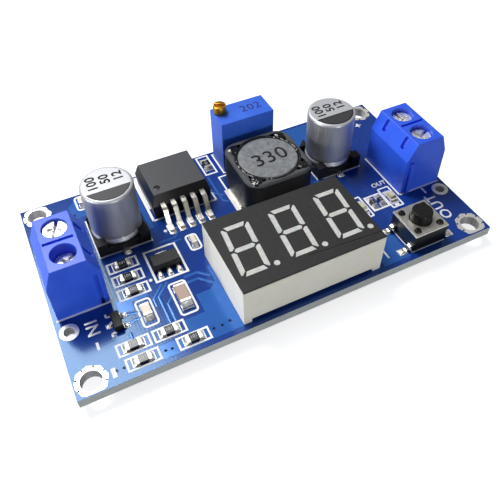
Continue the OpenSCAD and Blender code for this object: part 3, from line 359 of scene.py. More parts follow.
def printed_face(color):
    """Dark grey ink on the display's face, lightly scuffed across its width."""
    material, tree, shader, place = start_material("printed_face", color, 0.55, 0.0, 1.33)
    tone = tint(tree, shader, place, color, "#323233", 0.3, 0.3)
    scuffs = noise(tree, stretched(tree, place, (1, 0.05, 1), 0.35), 0.3, 3)
    drive(tree, shader, Base_Color=blend(tree, spread(tree, scuffs, 0, 0.25, 0.62, 0.8), tone, "#4c4c4d"))
    relief(tree, shader, place, 0.1, 0.004, 3)
    return material


def brushed_cover():
    """Tinned spring steel of the switch cover: satin, brushed along X, with its upright sheared edge faces painted
    near-white and less metallic as a painted highlight.
    """
    material, tree, shader, place = start_material("brushed_cover", "#c4c1b8", 0.34, 0.85)
    bumps(tree, shader, noise(tree, stretched(tree, place, (0.05, 1, 1)), 0.08, 3), 0.004, 0.12)
    patchy_gloss(tree, shader, place, 0.8, 0.3, 0.45)
    # painted highlight: the upright edge faces are near-white and less metallic than the top
    is_face = upward(tree)
    drive(tree, shader, Base_Color=blend(tree, is_face, "#f6f5f0", "#c4c1b8"),
          Metallic=spread(tree, is_face, 0.15, 0.85))
    return material


def fired_ceramic(large, small, split_x, split_y):
    """Fired ceramic chips: the large one, right of and in front of a split, a fleshy tan, the small ones cream."""
    material, tree, shader, place = start_material("fired_ceramic", large, 0.45, 0.0, 1.6)
    axes = add_node(tree, "ShaderNodeSeparateXYZ", {0: place})
    is_large = calculate(tree, "MULTIPLY", calculate(tree, "GREATER_THAN", axes.outputs["X"], split_x),
                         calculate(tree, "LESS_THAN", axes.outputs["Y"], split_y))
    drive(tree, shader, Base_Color=blend(tree, is_large, small, large))
    relief(tree, shader, place, 0.2, 0.008, 3)
    return material


# ---------------------------------------------------------------- modelling helpers


def added(operator, **settings):
    """What one of Blender's add operators makes, alone in the selection."""
    bpy.ops.object.select_all(action="DESELECT")
    operator(**settings)
    return bpy.context.object


def select_only(*objects):
    """Makes these the only selected objects, the first one active."""
    bpy.ops.object.select_all(action="DESELECT")
    for obj in objects:
        obj.select_set(True)
    bpy.context.view_layer.objects.active = objects[0]


def open_mesh(obj, mode="FACE"):
    """Goes into edit mode on one object alone, with everything in it selected."""
    select_only(obj)
    bpy.ops.object.mode_set(mode="EDIT")
    bpy.ops.mesh.select_mode(type=mode)
    bpy.ops.mesh.select_all(action="SELECT")


def pick(obj, test, kind="faces"):
    """Selects the faces, edges or verts of the open mesh that pass a test."""
    bpy.ops.mesh.select_all(action="DESELECT")
    mesh = bmesh.from_edit_mesh(obj.data)
    for item in getattr(mesh, kind):
        if test(item):
            item.select_set(True)
    mesh.select_flush_mode()
    bmesh.update_edit_mesh(obj.data)


def push(*value):
    """Moves what is selected in the open mesh."""
    bpy.ops.transform.translate(value=value)


def raise_faces(height):
    """Extrudes the selected faces of the open mesh along Z."""
    bpy.ops.mesh.extrude_region_move(TRANSFORM_OT_translate={"value": (0, 0, height)})


def close_mesh():
    """Leaves edit mode."""
    bpy.ops.object.mode_set(mode="OBJECT")


def settle(obj, location=None, turn=None, scale=None):
    """Gives an object a place, a turn and a size, and moves them into its mesh."""
    for key, value in (("location", location), ("rotation_euler", turn), ("scale", scale)):
        if value is not None:
            setattr(obj, key, value)
    select_only(obj)
    bpy.ops.object.transform_apply(location=True, rotation=True, scale=True)
    return obj


def sheet(x0, y0, x1, y1, z):
    """A flat rectangle between two corners."""
    obj = added(bpy.ops.mesh.primitive_plane_add, size=1, location=((x0 + x1) / 2, (y0 + y1) / 2, z))
    return settle(obj, scale=(abs(x1 - x0), abs(y1 - y0), 1))


def block(length, width, height, x=0.0):
    """A block that stands on the origin's level, with its middle at X."""
    obj = added(bpy.ops.mesh.primitive_cube_add, size=1, location=(x, 0, height / 2))
    return settle(obj, scale=(length, width, height))


def disc(x, y, z, radius, vertices):
    """A flat disc."""
    return settle(added(bpy.ops.mesh.primitive_circle_add, vertices=vertices, radius=radius, fill_type="NGON",
                        location=(x, y, z)))


def rename(obj, name):
    """Gives an object and its mesh a name."""
    obj.name = name
    obj.data.name = name
    return obj


def joined(objects, name):
    """Joins objects into one with this name."""
    select_only(*objects)
    if len(objects) > 1:
        bpy.ops.object.join()
    return rename(bpy.context.object, name)


def copy_to(master, x, y, z=0.0, turn=0.0, scale=(1, 1, 1)):
    """A copy of a finished shape with its own mesh, scaled, turned about Z and moved."""
    obj = master.copy()
    obj.data = master.data.copy()
    bpy.context.scene.collection.objects.link(obj)
    return settle(obj, (x, y, z), (0, 0, turn), scale)


def discard(*objects):
    """Removes shapes that have served as masters."""
    for obj in objects:
        bpy.data.objects.remove(obj, do_unlink=True)


def modified(obj, kind, **settings):
    """Applies a modifier with its settings."""
    select_only(obj)
    modifier = obj.modifiers.new(kind, kind)
    for name, value in settings.items():
        setattr(modifier, name, value)
    bpy.ops.object.modifier_apply(modifier=modifier.name)
    return obj


def thicken(obj, height):
    """Gives flat artwork its height, upwards."""
    return modified(obj, "SOLIDIFY", thickness=height, offset=1.0)


def finish_piece(obj, material, body="root"):
    """Dresses a new piece and lets it ride on its body."""
    obj.data.materials.clear()
    obj.data.materials.append(material)
    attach(obj, body)
    return obj


def print_piece(art, name, height, material):
    """Joins flat artwork into a piece of its own, thickens it and dresses it."""
    return finish_piece(thicken(joined(art, name), height), material)


def copy_of_node(name, piece):
    """A closed, clean copy of a CAD node's shape, to be worked on and to stand for it."""
    obj = bpy.data.objects.new(piece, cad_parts[name].data.copy())
    obj.data.name = piece
    bpy.context.scene.collection.objects.link(obj)
    open_mesh(obj)
    bpy.ops.mesh.remove_doubles(threshold=0.002 * MM)
    bpy.ops.mesh.dissolve_limited(angle_limit=math.radians(0.5))
    close_mesh()
    return obj


def dress(material, *nodes):
    """Gives CAD nodes their material."""
    for name in nodes:
        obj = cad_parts[name]
        if not obj.material_slots:
            obj.data.materials.append(material)
        for slot in obj.material_slots:
            slot.material = material


def solids(name):
    """(lowest corner, highest corner) of each separate solid in a CAD node."""
    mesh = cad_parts[name].data
    above = {}

    def top(key):
        while above.setdefault(key, key) != key:
            key = above[key]
        return key

    # corners that agree to a tenth of a micrometre are the same corner
    keys = [tuple(round(c * 1e7) for c in v.co) for v in mesh.vertices]
    for polygon in mesh.polygons:
        first = top(keys[polygon.vertices[0]])
        for i in polygon.vertices[1:]:
            above[top(keys[i])] = first
    groups = {}
    for key in sorted(set(keys)):
        groups.setdefault(top(key), []).append(key)
    boxes = []
    for group in groups.values():
        boxes.append(tuple(Vector(side(key[i] for key in group) / 1e7 for i in range(3)) for side in (min, max)))
    return sorted(boxes, key=lambda b: tuple(b[0]))


def middle(box):
    """Centre of a box."""
    return (box[0] + box[1]) / 2


def whole(boxes):
    """The box round several boxes."""
    return tuple(Vector(side(box[n][i] for box in boxes) for i in range(3)) for n, side in ((0, min), (1, max)))


def around(box, left, right, front, back):
    """A rectangle round a box, with a margin on each side in millimetres."""
    return (box[0].x - left * MM, box[0].y - front * MM, box[1].x + right * MM, box[1].y + back * MM)


def chips_with_ends(kind):
    """Each chip of a kind as (its body, its two ends)."""
    ends = solids(f"{kind}_ends")
    return [(body, sorted(ends, key=lambda end: (middle(end) - middle(body)).length)[:2])
            for body in solids(f"{kind}_bodies")]


def mm(*values):
    """Lengths in millimetres as metres."""
    return tuple(v * MM for v in values)


# ---------------------------------------------------------------- artwork on the board


def ink_frame(x0, y0, x1, y1, line, corner=0.0):
    """A printed rectangle: a sheet with its corners rounded, inset by the line and emptied."""
    obj = sheet(x0, y0, x1, y1, BOARD_TOP)
    open_mesh(obj)
    if corner:
        bpy.ops.mesh.bevel(offset=corner, offset_pct=0, affect="VERTICES", segments=5)
        bpy.ops.mesh.select_all(action="SELECT")
    bpy.ops.mesh.inset(thickness=line, depth=0)
    bpy.ops.mesh.delete(type="FACE")
    close_mesh()
    return obj


def ink_line(x0, y0, x1, y1, line, z=BOARD_TOP):
    """A printed straight line."""
    length = math.hypot(x1 - x0, y1 - y0)
    obj = sheet(-length / 2, -line / 2, length / 2, line / 2, 0)
    return settle(obj, ((x0 + x1) / 2, (y0 + y1) / 2, z), (0, 0, math.atan2(y1 - y0, x1 - x0)))


def lettering(body, x, y, z, size, turn=0.0, space=1.0, weight=0.0):
    """Characters as a flat mesh, centred on a point, reading along X before they are turned."""
    obj = added(bpy.ops.object.text_add)
    for name, value in (("body", body), ("size", size), ("align_x", "CENTER"), ("align_y", "CENTER"),
                        ("space_character", space), ("offset", weight), ("resolution_u", 3)):
        setattr(obj.data, name, value)
    bpy.ops.object.convert(target="MESH")
    return settle(bpy.context.object, (x, y, z), (0, 0, turn))


def open_chain(points, z):
    """Edges through a row of points at one height, left open in edit mode."""
    obj = added(bpy.ops.mesh.primitive_plane_add, size=1)
    open_mesh(obj, "VERT")
    pick(obj, lambda v: v.index > 0, "verts")
    bpy.ops.mesh.delete(type="VERT")
    bpy.ops.mesh.select_all(action="SELECT")
    mesh = bmesh.from_edit_mesh(obj.data)
    mesh.verts.ensure_lookup_table()
    mesh.verts[0].co = (*points[0], z)
    bmesh.update_edit_mesh(obj.data)
    for (xa, ya), (xb, yb) in itertools.pairwise(points):
        bpy.ops.mesh.extrude_vertices_move(TRANSFORM_OT_translate={"value": (xb - xa, yb - ya, 0)})
    return obj


def raised_track(points, width, height):
    """A copper track under the mask: a round section swept along its route and pressed flat."""
    open_chain(points, 0)
    close_mesh()
    bpy.ops.object.convert(target="CURVE")
    curve = bpy.context.object.data
    curve.bevel_depth = width / 2
    curve.bevel_resolution = 2
    curve.use_fill_caps = True
    bpy.ops.object.convert(target="MESH")
    return settle(bpy.context.object, (0, 0, BOARD_TOP), scale=(1, 1, height / (width / 2)))


def copper_area(points, height):
    """A flat area of copper under the mask."""
    obj = open_chain(points, BOARD_TOP)
    bpy.ops.mesh.select_all(action="SELECT")
    bpy.ops.mesh.edge_face_add()
    bpy.ops.mesh.normals_make_consistent(inside=False)
    mesh = bmesh.from_edit_mesh(obj.data)
    mesh.faces.ensure_lookup_table()
    if mesh.faces[0].normal.z < 0:
        bpy.ops.mesh.flip_normals()
    raise_faces(height)
    close_mesh()
    return obj


# Routes of the tracks that show, in millimetres from the board's centre
TRACKS = (
    ((-14.0, -5.95), (-11.9, -5.95), (-10.4, -7.4)),
    ((-14.0, -7.1), (-12.2, -7.1), (-10.5, -8.8)),
    ((-16.6, -5.7), (-18.6, -7.7), (-18.6, -12.6)),
    ((-17.4, -5.7), (-19.4, -7.7), (-19.4, -9.2)),
    ((-17.8, -12.6), (-17.8, -9.4), (-16.9, -8.5)),
    ((-23.9, -8.4), (-22.8, -8.8), (-22.1, -8.8)),
    ((-23.9, -10.3), (-22.8, -9.9), (-22.1, -9.9)),
    ((-24.2, -11.6), (-24.2, -13.0)),
    ((-15.0, 2.1), (-12.4, 2.1), (-11.4, 3.1)),
    ((-13.6, 1.3), (-11.6, 1.3)),
    ((-3.2, 14.0), (-3.2, 9.0), (-1.6, 7.4)),
    ((-2.2, 12.6), (-2.2, 6.4), (-1.4, 5.6)),
    ((13.2, 3.2), (15.4, 3.2)),
    ((13.6, -3.4), (15.2, -3.4), (16.4, -4.6)),
    ((24.6, -8.6), (25.6, -9.6), (25.6, -10.8)),
    ((14.2, -12.0), (16.0, -12.0), (17.2, -13.2)),
)
TRACK_W = 0.5

# Copper areas as outlines, in millimetres. They are copper under the mask, and are also laid as painted light and
# shade: their lighter lacquer covers the board where it catches glare, and the dark bare laminate is left in front of
# the display, where shade falls.
AREAS = (
    ((-21.4, -17.6), (-9.65, -17.6), (-9.65, -5.6), (-10.2, -5.6), (-10.2, -8.6), (-11.4, -9.7), (-13.6, -9.7),
     (-13.6, -13.0), (-17.2, -13.0), (-17.2, -15.4), (-21.4, -15.4)),
    ((-24.6, -5.9), (-19.8, -5.9), (-19.8, -6.8), (-22.4, -6.8), (-22.4, -8.2), (-24.6, -8.2)),
    ((-14.6, 5.4), (-14.6, 18.0), (-24.0, 18.0), (-26.0, 16.0), (-26.0, 13.0), (-15.4, 13.0), (-15.4, 5.4)),
    ((13.0, 12.6), (23.4, 12.6), (25.6, 14.8), (25.6, 17.9), (12.0, 17.9), (12.0, 13.6)),
    ((13.6, -4.2), (16.2, -6.8), (16.2, -11.2), (13.8, -13.4), (13.8, -17.6), (18.6, -17.6), (18.6, -13.0),
     (17.0, -11.2), (17.0, -6.4), (14.6, -3.4)),
    ((-29.8, 6.0), (-26.4, 6.0), (-26.4, 12.8), (-32.0, 12.8), (-32.0, 9.8), (-29.8, 9.8)),
)

# Vias between the parts, in millimetres
VIAS = ((-27.6, -16.4), (-26.6, -16.4), (-20.8, -16.4), (-19.9, -16.5), (-13.6, -16.1), (-12.35, -16.1),
        (-11.1, -15.9), (-9.9, 3.6), (15.2, -9.0), (26.8, 9.2), (14.4, 15.6), (-25.4, 13.8))

# Single parts inside a printed frame: the margins on the left, right, front and back in millimetres, and the weight
# of the line
FRAMED = {
    "inductor_shield": ((0.6, 0.6, 0.6, 0.4), 1.0),
    "trimmer_body": ((0.35, 0.35, 0.4, 0.35), 1.0),
    "logic_regulator_body": ((0.35, 0.45, 1.7, 2.3), 1.15),
    "switch_cover": ((0.05, 0.05, 0.05, 0.05), 1.0),
    "output_capacitor_base": ((0.15, 0.15, 0.25, 0.25), 1.0),
    "input_capacitor_base": ((0.15, 0.15, 0.25, 0.25), 1.0),
}

# Words on the board as (text, x, y, size, turn in degrees, spacing, weight), in millimetres
WORDS = (
    ("IN", -28.8, -8.6, 2.5, -90, 1.1, 0.04),
    ("OUT", 29.1, -11.0, 2.6, 90, 1.1, 0.04),
    ("+", 29.1, 13.0, 2.4, 90, 1.0, 0.05),
    ("OUT", 23.2, -2.2, 1.3, 0, 1.0, 0.05),
    ("1", 15.3, -15.8, 2.2, 0, 1.0, 0.05),
)
# The strokes of the other signs: the minus of each terminal and the plus of the input, in millimetres
SIGNS = ((-28.8, -12.4, -28.8, -11.1), (29.1, -7.5, 29.1, -6.2), (-29.3, 11.0, -28.1, 11.0),
         (-28.7, 10.4, -28.7, 11.6))


# ---------------------------------------------------------------- settings


def color_setting(name, description, code):
    """A colour that the panel shows, from its default as a hex code."""
    return bpy.props.FloatVectorProperty(name=name, description=description, subtype="COLOR", size=3,
                                         default=linear(code))


def height_setting(name, description, low, default, high, precision=6):
    """A small length that the panel shows, from its limits and default in millimetres."""
    return bpy.props.FloatProperty(name=name, description=description, default=default * MM, min=low * MM,
                                   max=high * MM, unit="LENGTH", precision=precision)


def power_setting(name, description, default):
    """A lamp's power that the panel shows, in watts."""
    return bpy.props.FloatProperty(name=name, description=description, default=default, min=0.0, max=10.0,
                                   unit="POWER")


class ConverterBoardSettings(bpy.types.PropertyGroup):
    """The circuit board's lacquer, prints and tracks."""

    # the lacquer over bare laminate is dark, and also stands as painted shade in front of the display
    mask: color_setting("Solder mask", "Colour of the lacquer over bare laminate", "#143184")
    edge: color_setting("Sawn edge", "Darker tone of the glass laminate at the board's edge", "#a0a5aa")
    copper: color_setting("Mask over copper", "Colour of the lacquer where copper lies under it", "#2b62b0")
    ink: color_setting("Ink", "Colour of the outlines and letters", "#fbfcfe")
    ink_line: height_setting("Line", "Width of a printed outline", 0.1, 0.3, 0.5, 5)
    ink_height: height_setting("Ink height", "Thickness of the screened ink", 0.01, 0.03, 0.06)
    track_height: height_setting("Track height", "How far a track stands up under the mask", 0.01, 0.025, 0.07)


class ConverterPlasticSettings(bpy.types.PropertyGroup):
    """The mouldings of the terminals, trimmer, display, packages and switch."""

    terminal: color_setting("Terminal", "Polyamide of the screw terminals", "#2857e6")
    trimmer: color_setting("Trimmer", "Thermoset of the trimmer", "#2a5fdc")
    display: color_setting("Display housing", "Off-white moulding of the display", "#f2f0e3")
    face: color_setting("Display face", "Dark print round the digits", "#262627")
    package: color_setting("Package", "Epoxy of the moulded packages", "#37383c")
    button: color_setting("Button", "Moulding of the switch's button", "#101011")


class ConverterStageSettings(bpy.types.PropertyGroup):
    """The floor and the light."""

    floor: color_setting("Floor", "Colour of the floor", "#b6b9bf")
    key: power_setting("Key lamp", "Power of the large lamp above and behind the left side", 1.25)
    side: power_setting("Side lamp", "Power of the lamp on the left", 0.78)
    fill: power_setting("Fill lamp", "Power of the weak lamp in front", 0.37)
    sky: bpy.props.FloatProperty(name="Surrounding light", description="Strength of the plain light from all round",
                                 default=0.1, min=0.0, max=1.0)
    mirrored: bpy.props.FloatProperty(name="Mirrored light", description="Strength of the surroundings in reflections",
                                      default=0.3, min=0.0, max=1.0)


# ---------------------------------------------------------------- pieces


class CONVERTER_OT_finish_board(bpy.types.Operator):
    """Lacquered board, tinned rings and pads, and the solder below it"""

    bl_idname = "converter.finish_board"
    bl_label = "Board and Plating"

    def execute(self, context):
        settings = context.scene.converter_board
        dress(masked_laminate(settings.mask, settings.edge), "circuit_board")
        dress(finish("levelled_tin"), "plated_holes", "solder_pads")
        dress(finish("flowed_solder"), "solder_joints")
        dress(finish("matt_tin"), "trimmer_pins", "display_pins", "regulator_leads", "regulator_tab",
              "inductor_terminals", "input_capacitor_leads", "output_capacitor_leads", "switch_terminals",
              "logic_regulator_leads", "transistor_leads", "catch_diode_leads", "controller_leads", "resistor_ends",
              "ceramic_capacitor_ends")
        return {"FINISHED"}


class CONVERTER_OT_lay_tracks(bpy.types.Operator):
    """Copper tracks and areas that stand up under the mask"""

    bl_idname = "converter.lay_tracks"
    bl_label = "Tracks and Copper Areas"

    # How much further a track's crown stands up than an area
    crown = 1.6

    def execute(self, context):
        settings = context.scene.converter_board
        height = settings.track_height
        tracks = [raised_track([mm(*p) for p in route], TRACK_W * MM, height * self.crown) for route in TRACKS]
        # the areas' lighter lacquer lies partly as painted light where the board catches glare
        areas = [copper_area([mm(*p) for p in points], height) for points in AREAS]
        lacquer = finish("masked_copper", settings.copper)
        finish_piece(joined(tracks, "copper_tracks"), lacquer)
        finish_piece(joined(areas, "copper_areas"), lacquer)
        return {"FINISHED"}


class CONVERTER_OT_print_outlines(bpy.types.Operator):
    """Screened outlines round the parts"""

    bl_idname = "converter.print_outlines"
    bl_label = "Printed Outlines"

    # A chip longer than this has an outline of its own, and one narrower than this is one of a pair in one outline
    long_chip, narrow_chip = 1.9 * MM, 0.9 * MM
    # Where outlines end towards the board's sides and back, in millimetres
    back_end, left_end, right_end = 18.1, -33.0, 32.8
    # Front line of the output terminal's outline
    output_front = -5.9
    # Margins of the chips' frames on the left, right, front and back, in millimetres
    lying, upright = (1.4, 1.4, 0.45, 0.45), (0.55, 0.55, 1.55, 1.55)
    paired, lamp = (0.35, 0.6, 0.9, 0.95), (0.5, 0.5, 1.35, 1.6)
    # The ceramic chips' margins at the sides, and at the ends of a short and of a long one, in millimetres
    ceramic_side, ceramic_end, long_ceramic_end = 0.6, 0.95, 1.5
    ceramic_corner, lamp_corner = 0.6 * MM, 0.25 * MM
    # The bar in front of a lamp: half its length, its distance from the lamp and its weight
    bar_reach, bar_gap, bar_weight = 0.4 * MM, 0.85 * MM, 1.6
    # How far the outlines stay from the regulator and the terminals, in millimetres, and the regulator's heavy side
    regulator_gap, regulator_right, regulator_weight = 0.35, 0.7, 1.4
    terminal_gap = 0.15
    # The transistor's corner marks: their two ends along X, their distance from its edges and their leg
    mark_start, mark_end, mark_gap, mark_leg = -25.8, -26.5, 0.1, 0.6
    # A bar by the front left hole, and dots with their radius, in millimetres
    hole_bar, hole_bar_weight = (-28.0, -17.3, -28.0, -15.8), 2
    dots, dot_radius = ((-18.7, -4.3), (-13.3, 4.0)), 0.27

    def outline_chips(self, art, line):
        """Frames round the chips: square round resistors, rounded round ceramic capacitors and lamps."""
        pair = []
        for body, ends in chips_with_ends("resistor"):
            chip = whole([body, *ends])
            size = chip[1] - chip[0]
            if size.x > self.long_chip:
                art.append(ink_frame(*around(chip, *self.lying), line))
            elif size.y > self.long_chip:
                art.append(ink_frame(*around(chip, *self.upright), line))
            elif size.x < self.narrow_chip:
                pair.append(chip)
        art.append(ink_frame(*around(whole(pair), *self.paired), line))
        for body, ends in chips_with_ends("ceramic_capacitor"):
            chip = whole([body, *ends])
            end = self.long_ceramic_end if (chip[1] - chip[0]).y > self.long_chip else self.ceramic_end
            margins = (self.ceramic_side, self.ceramic_side, end, end)
            art.append(ink_frame(*around(chip, *margins), line, self.ceramic_corner))
        for chip in solids("indicator_led_bases"):
            art.append(ink_frame(*around(chip, *self.lamp), line, self.lamp_corner))
            x, y = middle(chip).x, chip[0].y - self.bar_gap
            art.append(ink_line(x - self.bar_reach, y, x + self.bar_reach, y, line * self.bar_weight))

    def outline_parts(self, art, line):
        """Frames and open outlines round the larger parts, and corner marks at the transistor."""
        def stroke(*points, weight=1.0):
            """A line through points in millimetres."""
            for start, end in itertools.pairwise(points):
                art.append(ink_line(*mm(*start, *end), line * weight))

        def corners(node):
            """A node's lowest and highest corner in millimetres."""
            return (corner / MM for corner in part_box(node))

        low, high = corners("regulator_body")
        front, left, right = low.y - self.regulator_gap, low.x - self.regulator_gap, high.x + self.regulator_right
        stroke((left, front), (left, self.back_end), weight=self.regulator_weight)
        stroke((left, front), (right, front), (right, self.back_end))
        for node, (margins, weight) in FRAMED.items():
            art.append(ink_frame(*around(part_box(node), *margins), line * weight))
        low, high = corners("input_terminal_housing")
        front, side = low.y - self.terminal_gap, high.x + self.terminal_gap
        stroke((self.left_end, front), (side, front), (side, high.y))
        low, high = corners("output_terminal_housing")
        side = low.x - self.terminal_gap
        stroke((self.right_end, self.output_front), (side, self.output_front), (side, high.y))
        low, high = corners("transistor_body")
        for y, leg in ((high.y + self.mark_gap, self.mark_leg), (low.y + self.mark_gap, -self.mark_leg)):
            stroke((self.mark_start, y), (self.mark_end, y), (self.mark_end, y + leg))

    def execute(self, context):
        settings = context.scene.converter_board
        line = settings.ink_line
        art = []
        self.outline_chips(art, line)
        self.outline_parts(art, line)
        art.append(ink_line(*mm(*self.hole_bar), line * self.hole_bar_weight))
        for x, y in self.dots:
            art.append(disc(x * MM, y * MM, BOARD_TOP, self.dot_radius * MM, 20))
        print_piece(art, "printed_outlines", settings.ink_height, ink("white_ink", settings.ink))
        return {"FINISHED"}


class CONVERTER_OT_print_letters(bpy.types.Operator):
    """Screened terminal marks: plain IN and OUT with their signs"""

    bl_idname = "converter.print_letters"
    bl_label = "Printed Letters"

    sign_weight = 1.2

    def execute(self, context):
        settings = context.scene.converter_board
        art = [lettering(text, x * MM, y * MM, BOARD_TOP, size * MM, math.radians(turn), space, weight * MM)
               for text, x, y, size, turn, space, weight in WORDS]
        art += [ink_line(*mm(*sign), settings.ink_line * self.sign_weight) for sign in SIGNS]
        print_piece(art, "printed_letters", settings.ink_height, ink("letter_ink", settings.ink))
        return {"FINISHED"}


class CONVERTER_OT_drill_vias(bpy.types.Operator):
    """Small plated holes round the mounting rings and between the parts"""

    bl_idname = "converter.drill_vias"
    bl_label = "Small Plated Holes"

    # Radius, height and rim of a via's cup, and the size of the ones on the rings beside it
    radius, height, rim, ring_scale = 0.2 * MM, 0.03 * MM, 0.04 * MM, 0.75
    # The rings: distance of their centres from the board's, and of the eight vias from theirs
    ring_x, ring_y, ring_reach, ring_vias = 31.0 * MM, 16.3 * MM, 2.02 * MM, 8
    # Vias further out would cross the board's edge
    limit_x, limit_y = 33.1 * MM, 18.1 * MM

    def cup(self):
        """A shallow cup: rim, wall and floor."""
        obj = added(bpy.ops.mesh.primitive_cylinder_add, vertices=16, radius=self.radius, depth=self.height)
        open_mesh(obj)
        pick(obj, lambda f: f.normal.z > 0.9)
        bpy.ops.mesh.inset(thickness=self.rim, depth=0)
        raise_faces(-0.02 * MM)
        close_mesh()
        return obj

    def execute(self, context):
        cup = self.cup()
        fine = copy_to(cup, 0, 0, scale=(self.ring_scale, self.ring_scale, 1))
        ring_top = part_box("plated_holes")[1].z + 0.012 * MM
        holes = []
        for sx, sy, k in itertools.product((-1, 1), (-1, 1), range(self.ring_vias)):
            angle = math.tau * (k + 0.5) / self.ring_vias
            x = sx * self.ring_x + self.ring_reach * math.cos(angle)
            y = sy * self.ring_y + self.ring_reach * math.sin(angle)
            if abs(x) < self.limit_x and abs(y) < self.limit_y:
                holes.append(copy_to(fine, x, y, ring_top))
        holes += [copy_to(cup, x * MM, y * MM, BOARD_TOP + self.height) for x, y in VIAS]
        discard(cup, fine)
        finish_piece(joined(holes, "small_plated_holes"), finish("drilled_dark"))
        return {"FINISHED"}


class CONVERTER_OT_flow_solder(bpy.types.Operator):
    """Solder fillets at the chips' ends and domes on the leads' pads"""

    bl_idname = "converter.flow_solder"
    bl_label = "Solder Fillets"

    fillet_reach, pillow_height = 0.52 * MM, 0.13 * MM
    leads = ("regulator_leads", "switch_terminals", "logic_regulator_leads", "transistor_leads",
             "input_capacitor_leads", "output_capacitor_leads")
    # Length and width of the pillows, in millimetres
    regulator_pillow, switch_pillow = (1.15, 1.1), (1.3, 1.2)
    transistor_pillow, capacitor_pillow = (0.7, 0.6), (1.1, 0.9)
    front_pillow, back_pillow = (0.7, 0.8), (1.9, 0.7)
    # How far a pillow's middle lies inside the outer edge of the foot, and beyond the back edge of the tab
    regulator_inset, capacitor_inset, front_inset, back_outset = 0.05 * MM, 0.1 * MM, 0.1 * MM, 0.15 * MM
    # How far it lies outwards from the middle of the foot: a length, and a share of the foot's length
    transistor_outset, switch_share = 0.25 * MM, 0.3
    # Feet further than this in front of the small regulator's middle belong to its three single leads
    front_line = 1 * MM

    def wedge(self, width, height):
        """A fillet rising towards -X, from a block whose outer top edge is hollowed out."""
        reach = self.fillet_reach
        obj = block(reach, width, height, reach / 2)
        open_mesh(obj, "EDGE")
        pick(obj, lambda e: all(v.co.x > reach * 0.9 and v.co.z > height * 0.9 for v in e.verts), "edges")
        bpy.ops.mesh.bevel(offset=min(reach, height) * 0.94, segments=5, profile=0.2, affect="EDGES")
        pick(obj, lambda e: abs(e.verts[0].co.y - e.verts[1].co.y) < 1e-7
             and abs(e.verts[0].co.y) > width * 0.49 and max(v.co.z for v in e.verts) > height * 0.04, "edges")
        bpy.ops.mesh.bevel(offset=width * 0.09, segments=2, affect="EDGES")
        close_mesh()
        return obj

    def pillow(self, length, width):
        """A low pillow of solder on a pad."""
        height = self.pillow_height
        obj = block(length, width, height)
        open_mesh(obj, "EDGE")
        pick(obj, lambda e: abs(e.verts[0].co.z - e.verts[1].co.z) > height * 0.5, "edges")
        bpy.ops.mesh.bevel(offset=min(length, width) * 0.25, segments=3, affect="EDGES")
        pick(obj, lambda e: all(v.co.z > height * 0.9 for v in e.verts), "edges")
        bpy.ops.mesh.bevel(offset=height * 0.9, segments=3, affect="EDGES")
        close_mesh()
        return obj

    def pillow_at(self, name, box):
        """(length and width in millimetres, X, Y) of the pillow under one lead, a little larger than its foot."""
        centre, group = middle(box), middle(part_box(name))
        outward = 1 if centre.x > group.x else -1
        if name == "regulator_leads":
            return self.regulator_pillow, centre.x, box[0].y + self.regulator_inset
        if name == "switch_terminals":
            length = box[1].x - box[0].x
            return self.switch_pillow, centre.x + outward * length * self.switch_share, centre.y
        if name == "transistor_leads":
            return self.transistor_pillow, centre.x + outward * self.transistor_outset, centre.y
        if name.endswith("capacitor_leads"):
            back = centre.y > group.y
            return self.capacitor_pillow, centre.x, box[back].y + (-1 if back else 1) * self.capacitor_inset
        if centre.y < group.y - self.front_line:
            return self.front_pillow, centre.x, box[0].y + self.front_inset
        return self.back_pillow, centre.x, box[1].y + self.back_outset

    def execute(self, context):
        drops, masters = [], {}

        def place(make, size, x, y, turn=0.0):
            key = (make.__name__, *(round(side, 6) for side in size))
            if key not in masters:
                masters[key] = make(*size)
            drops.append(copy_to(masters[key], x, y, PAD_TOP, turn))

        for body, ends in chips_with_ends("resistor") + chips_with_ends("ceramic_capacitor"):
            for end in ends:
                away, foot = middle(end) - middle(body), middle(end)
                axis = 0 if abs(away.x) > abs(away.y) else 1
                outward = away[axis] > 0
                foot[axis] = end[outward][axis]
                size = end[1] - end[0]
                turn = axis * math.pi / 2 + (0 if outward else math.pi)
                place(self.wedge, (size[1 - axis] + 0.06 * MM, size.z * 0.8), foot.x, foot.y, turn)
        for name in self.leads:
            for box in solids(name):
                size, x, y = self.pillow_at(name, box)
                place(self.pillow, mm(*size), x, y)
        discard(*masters.values())
        piece = joined(drops, "solder_fillets")
        select_only(piece)
        bpy.ops.object.shade_smooth_by_angle(angle=math.radians(40))
        finish_piece(piece, finish("flowed_solder"))
        return {"FINISHED"}


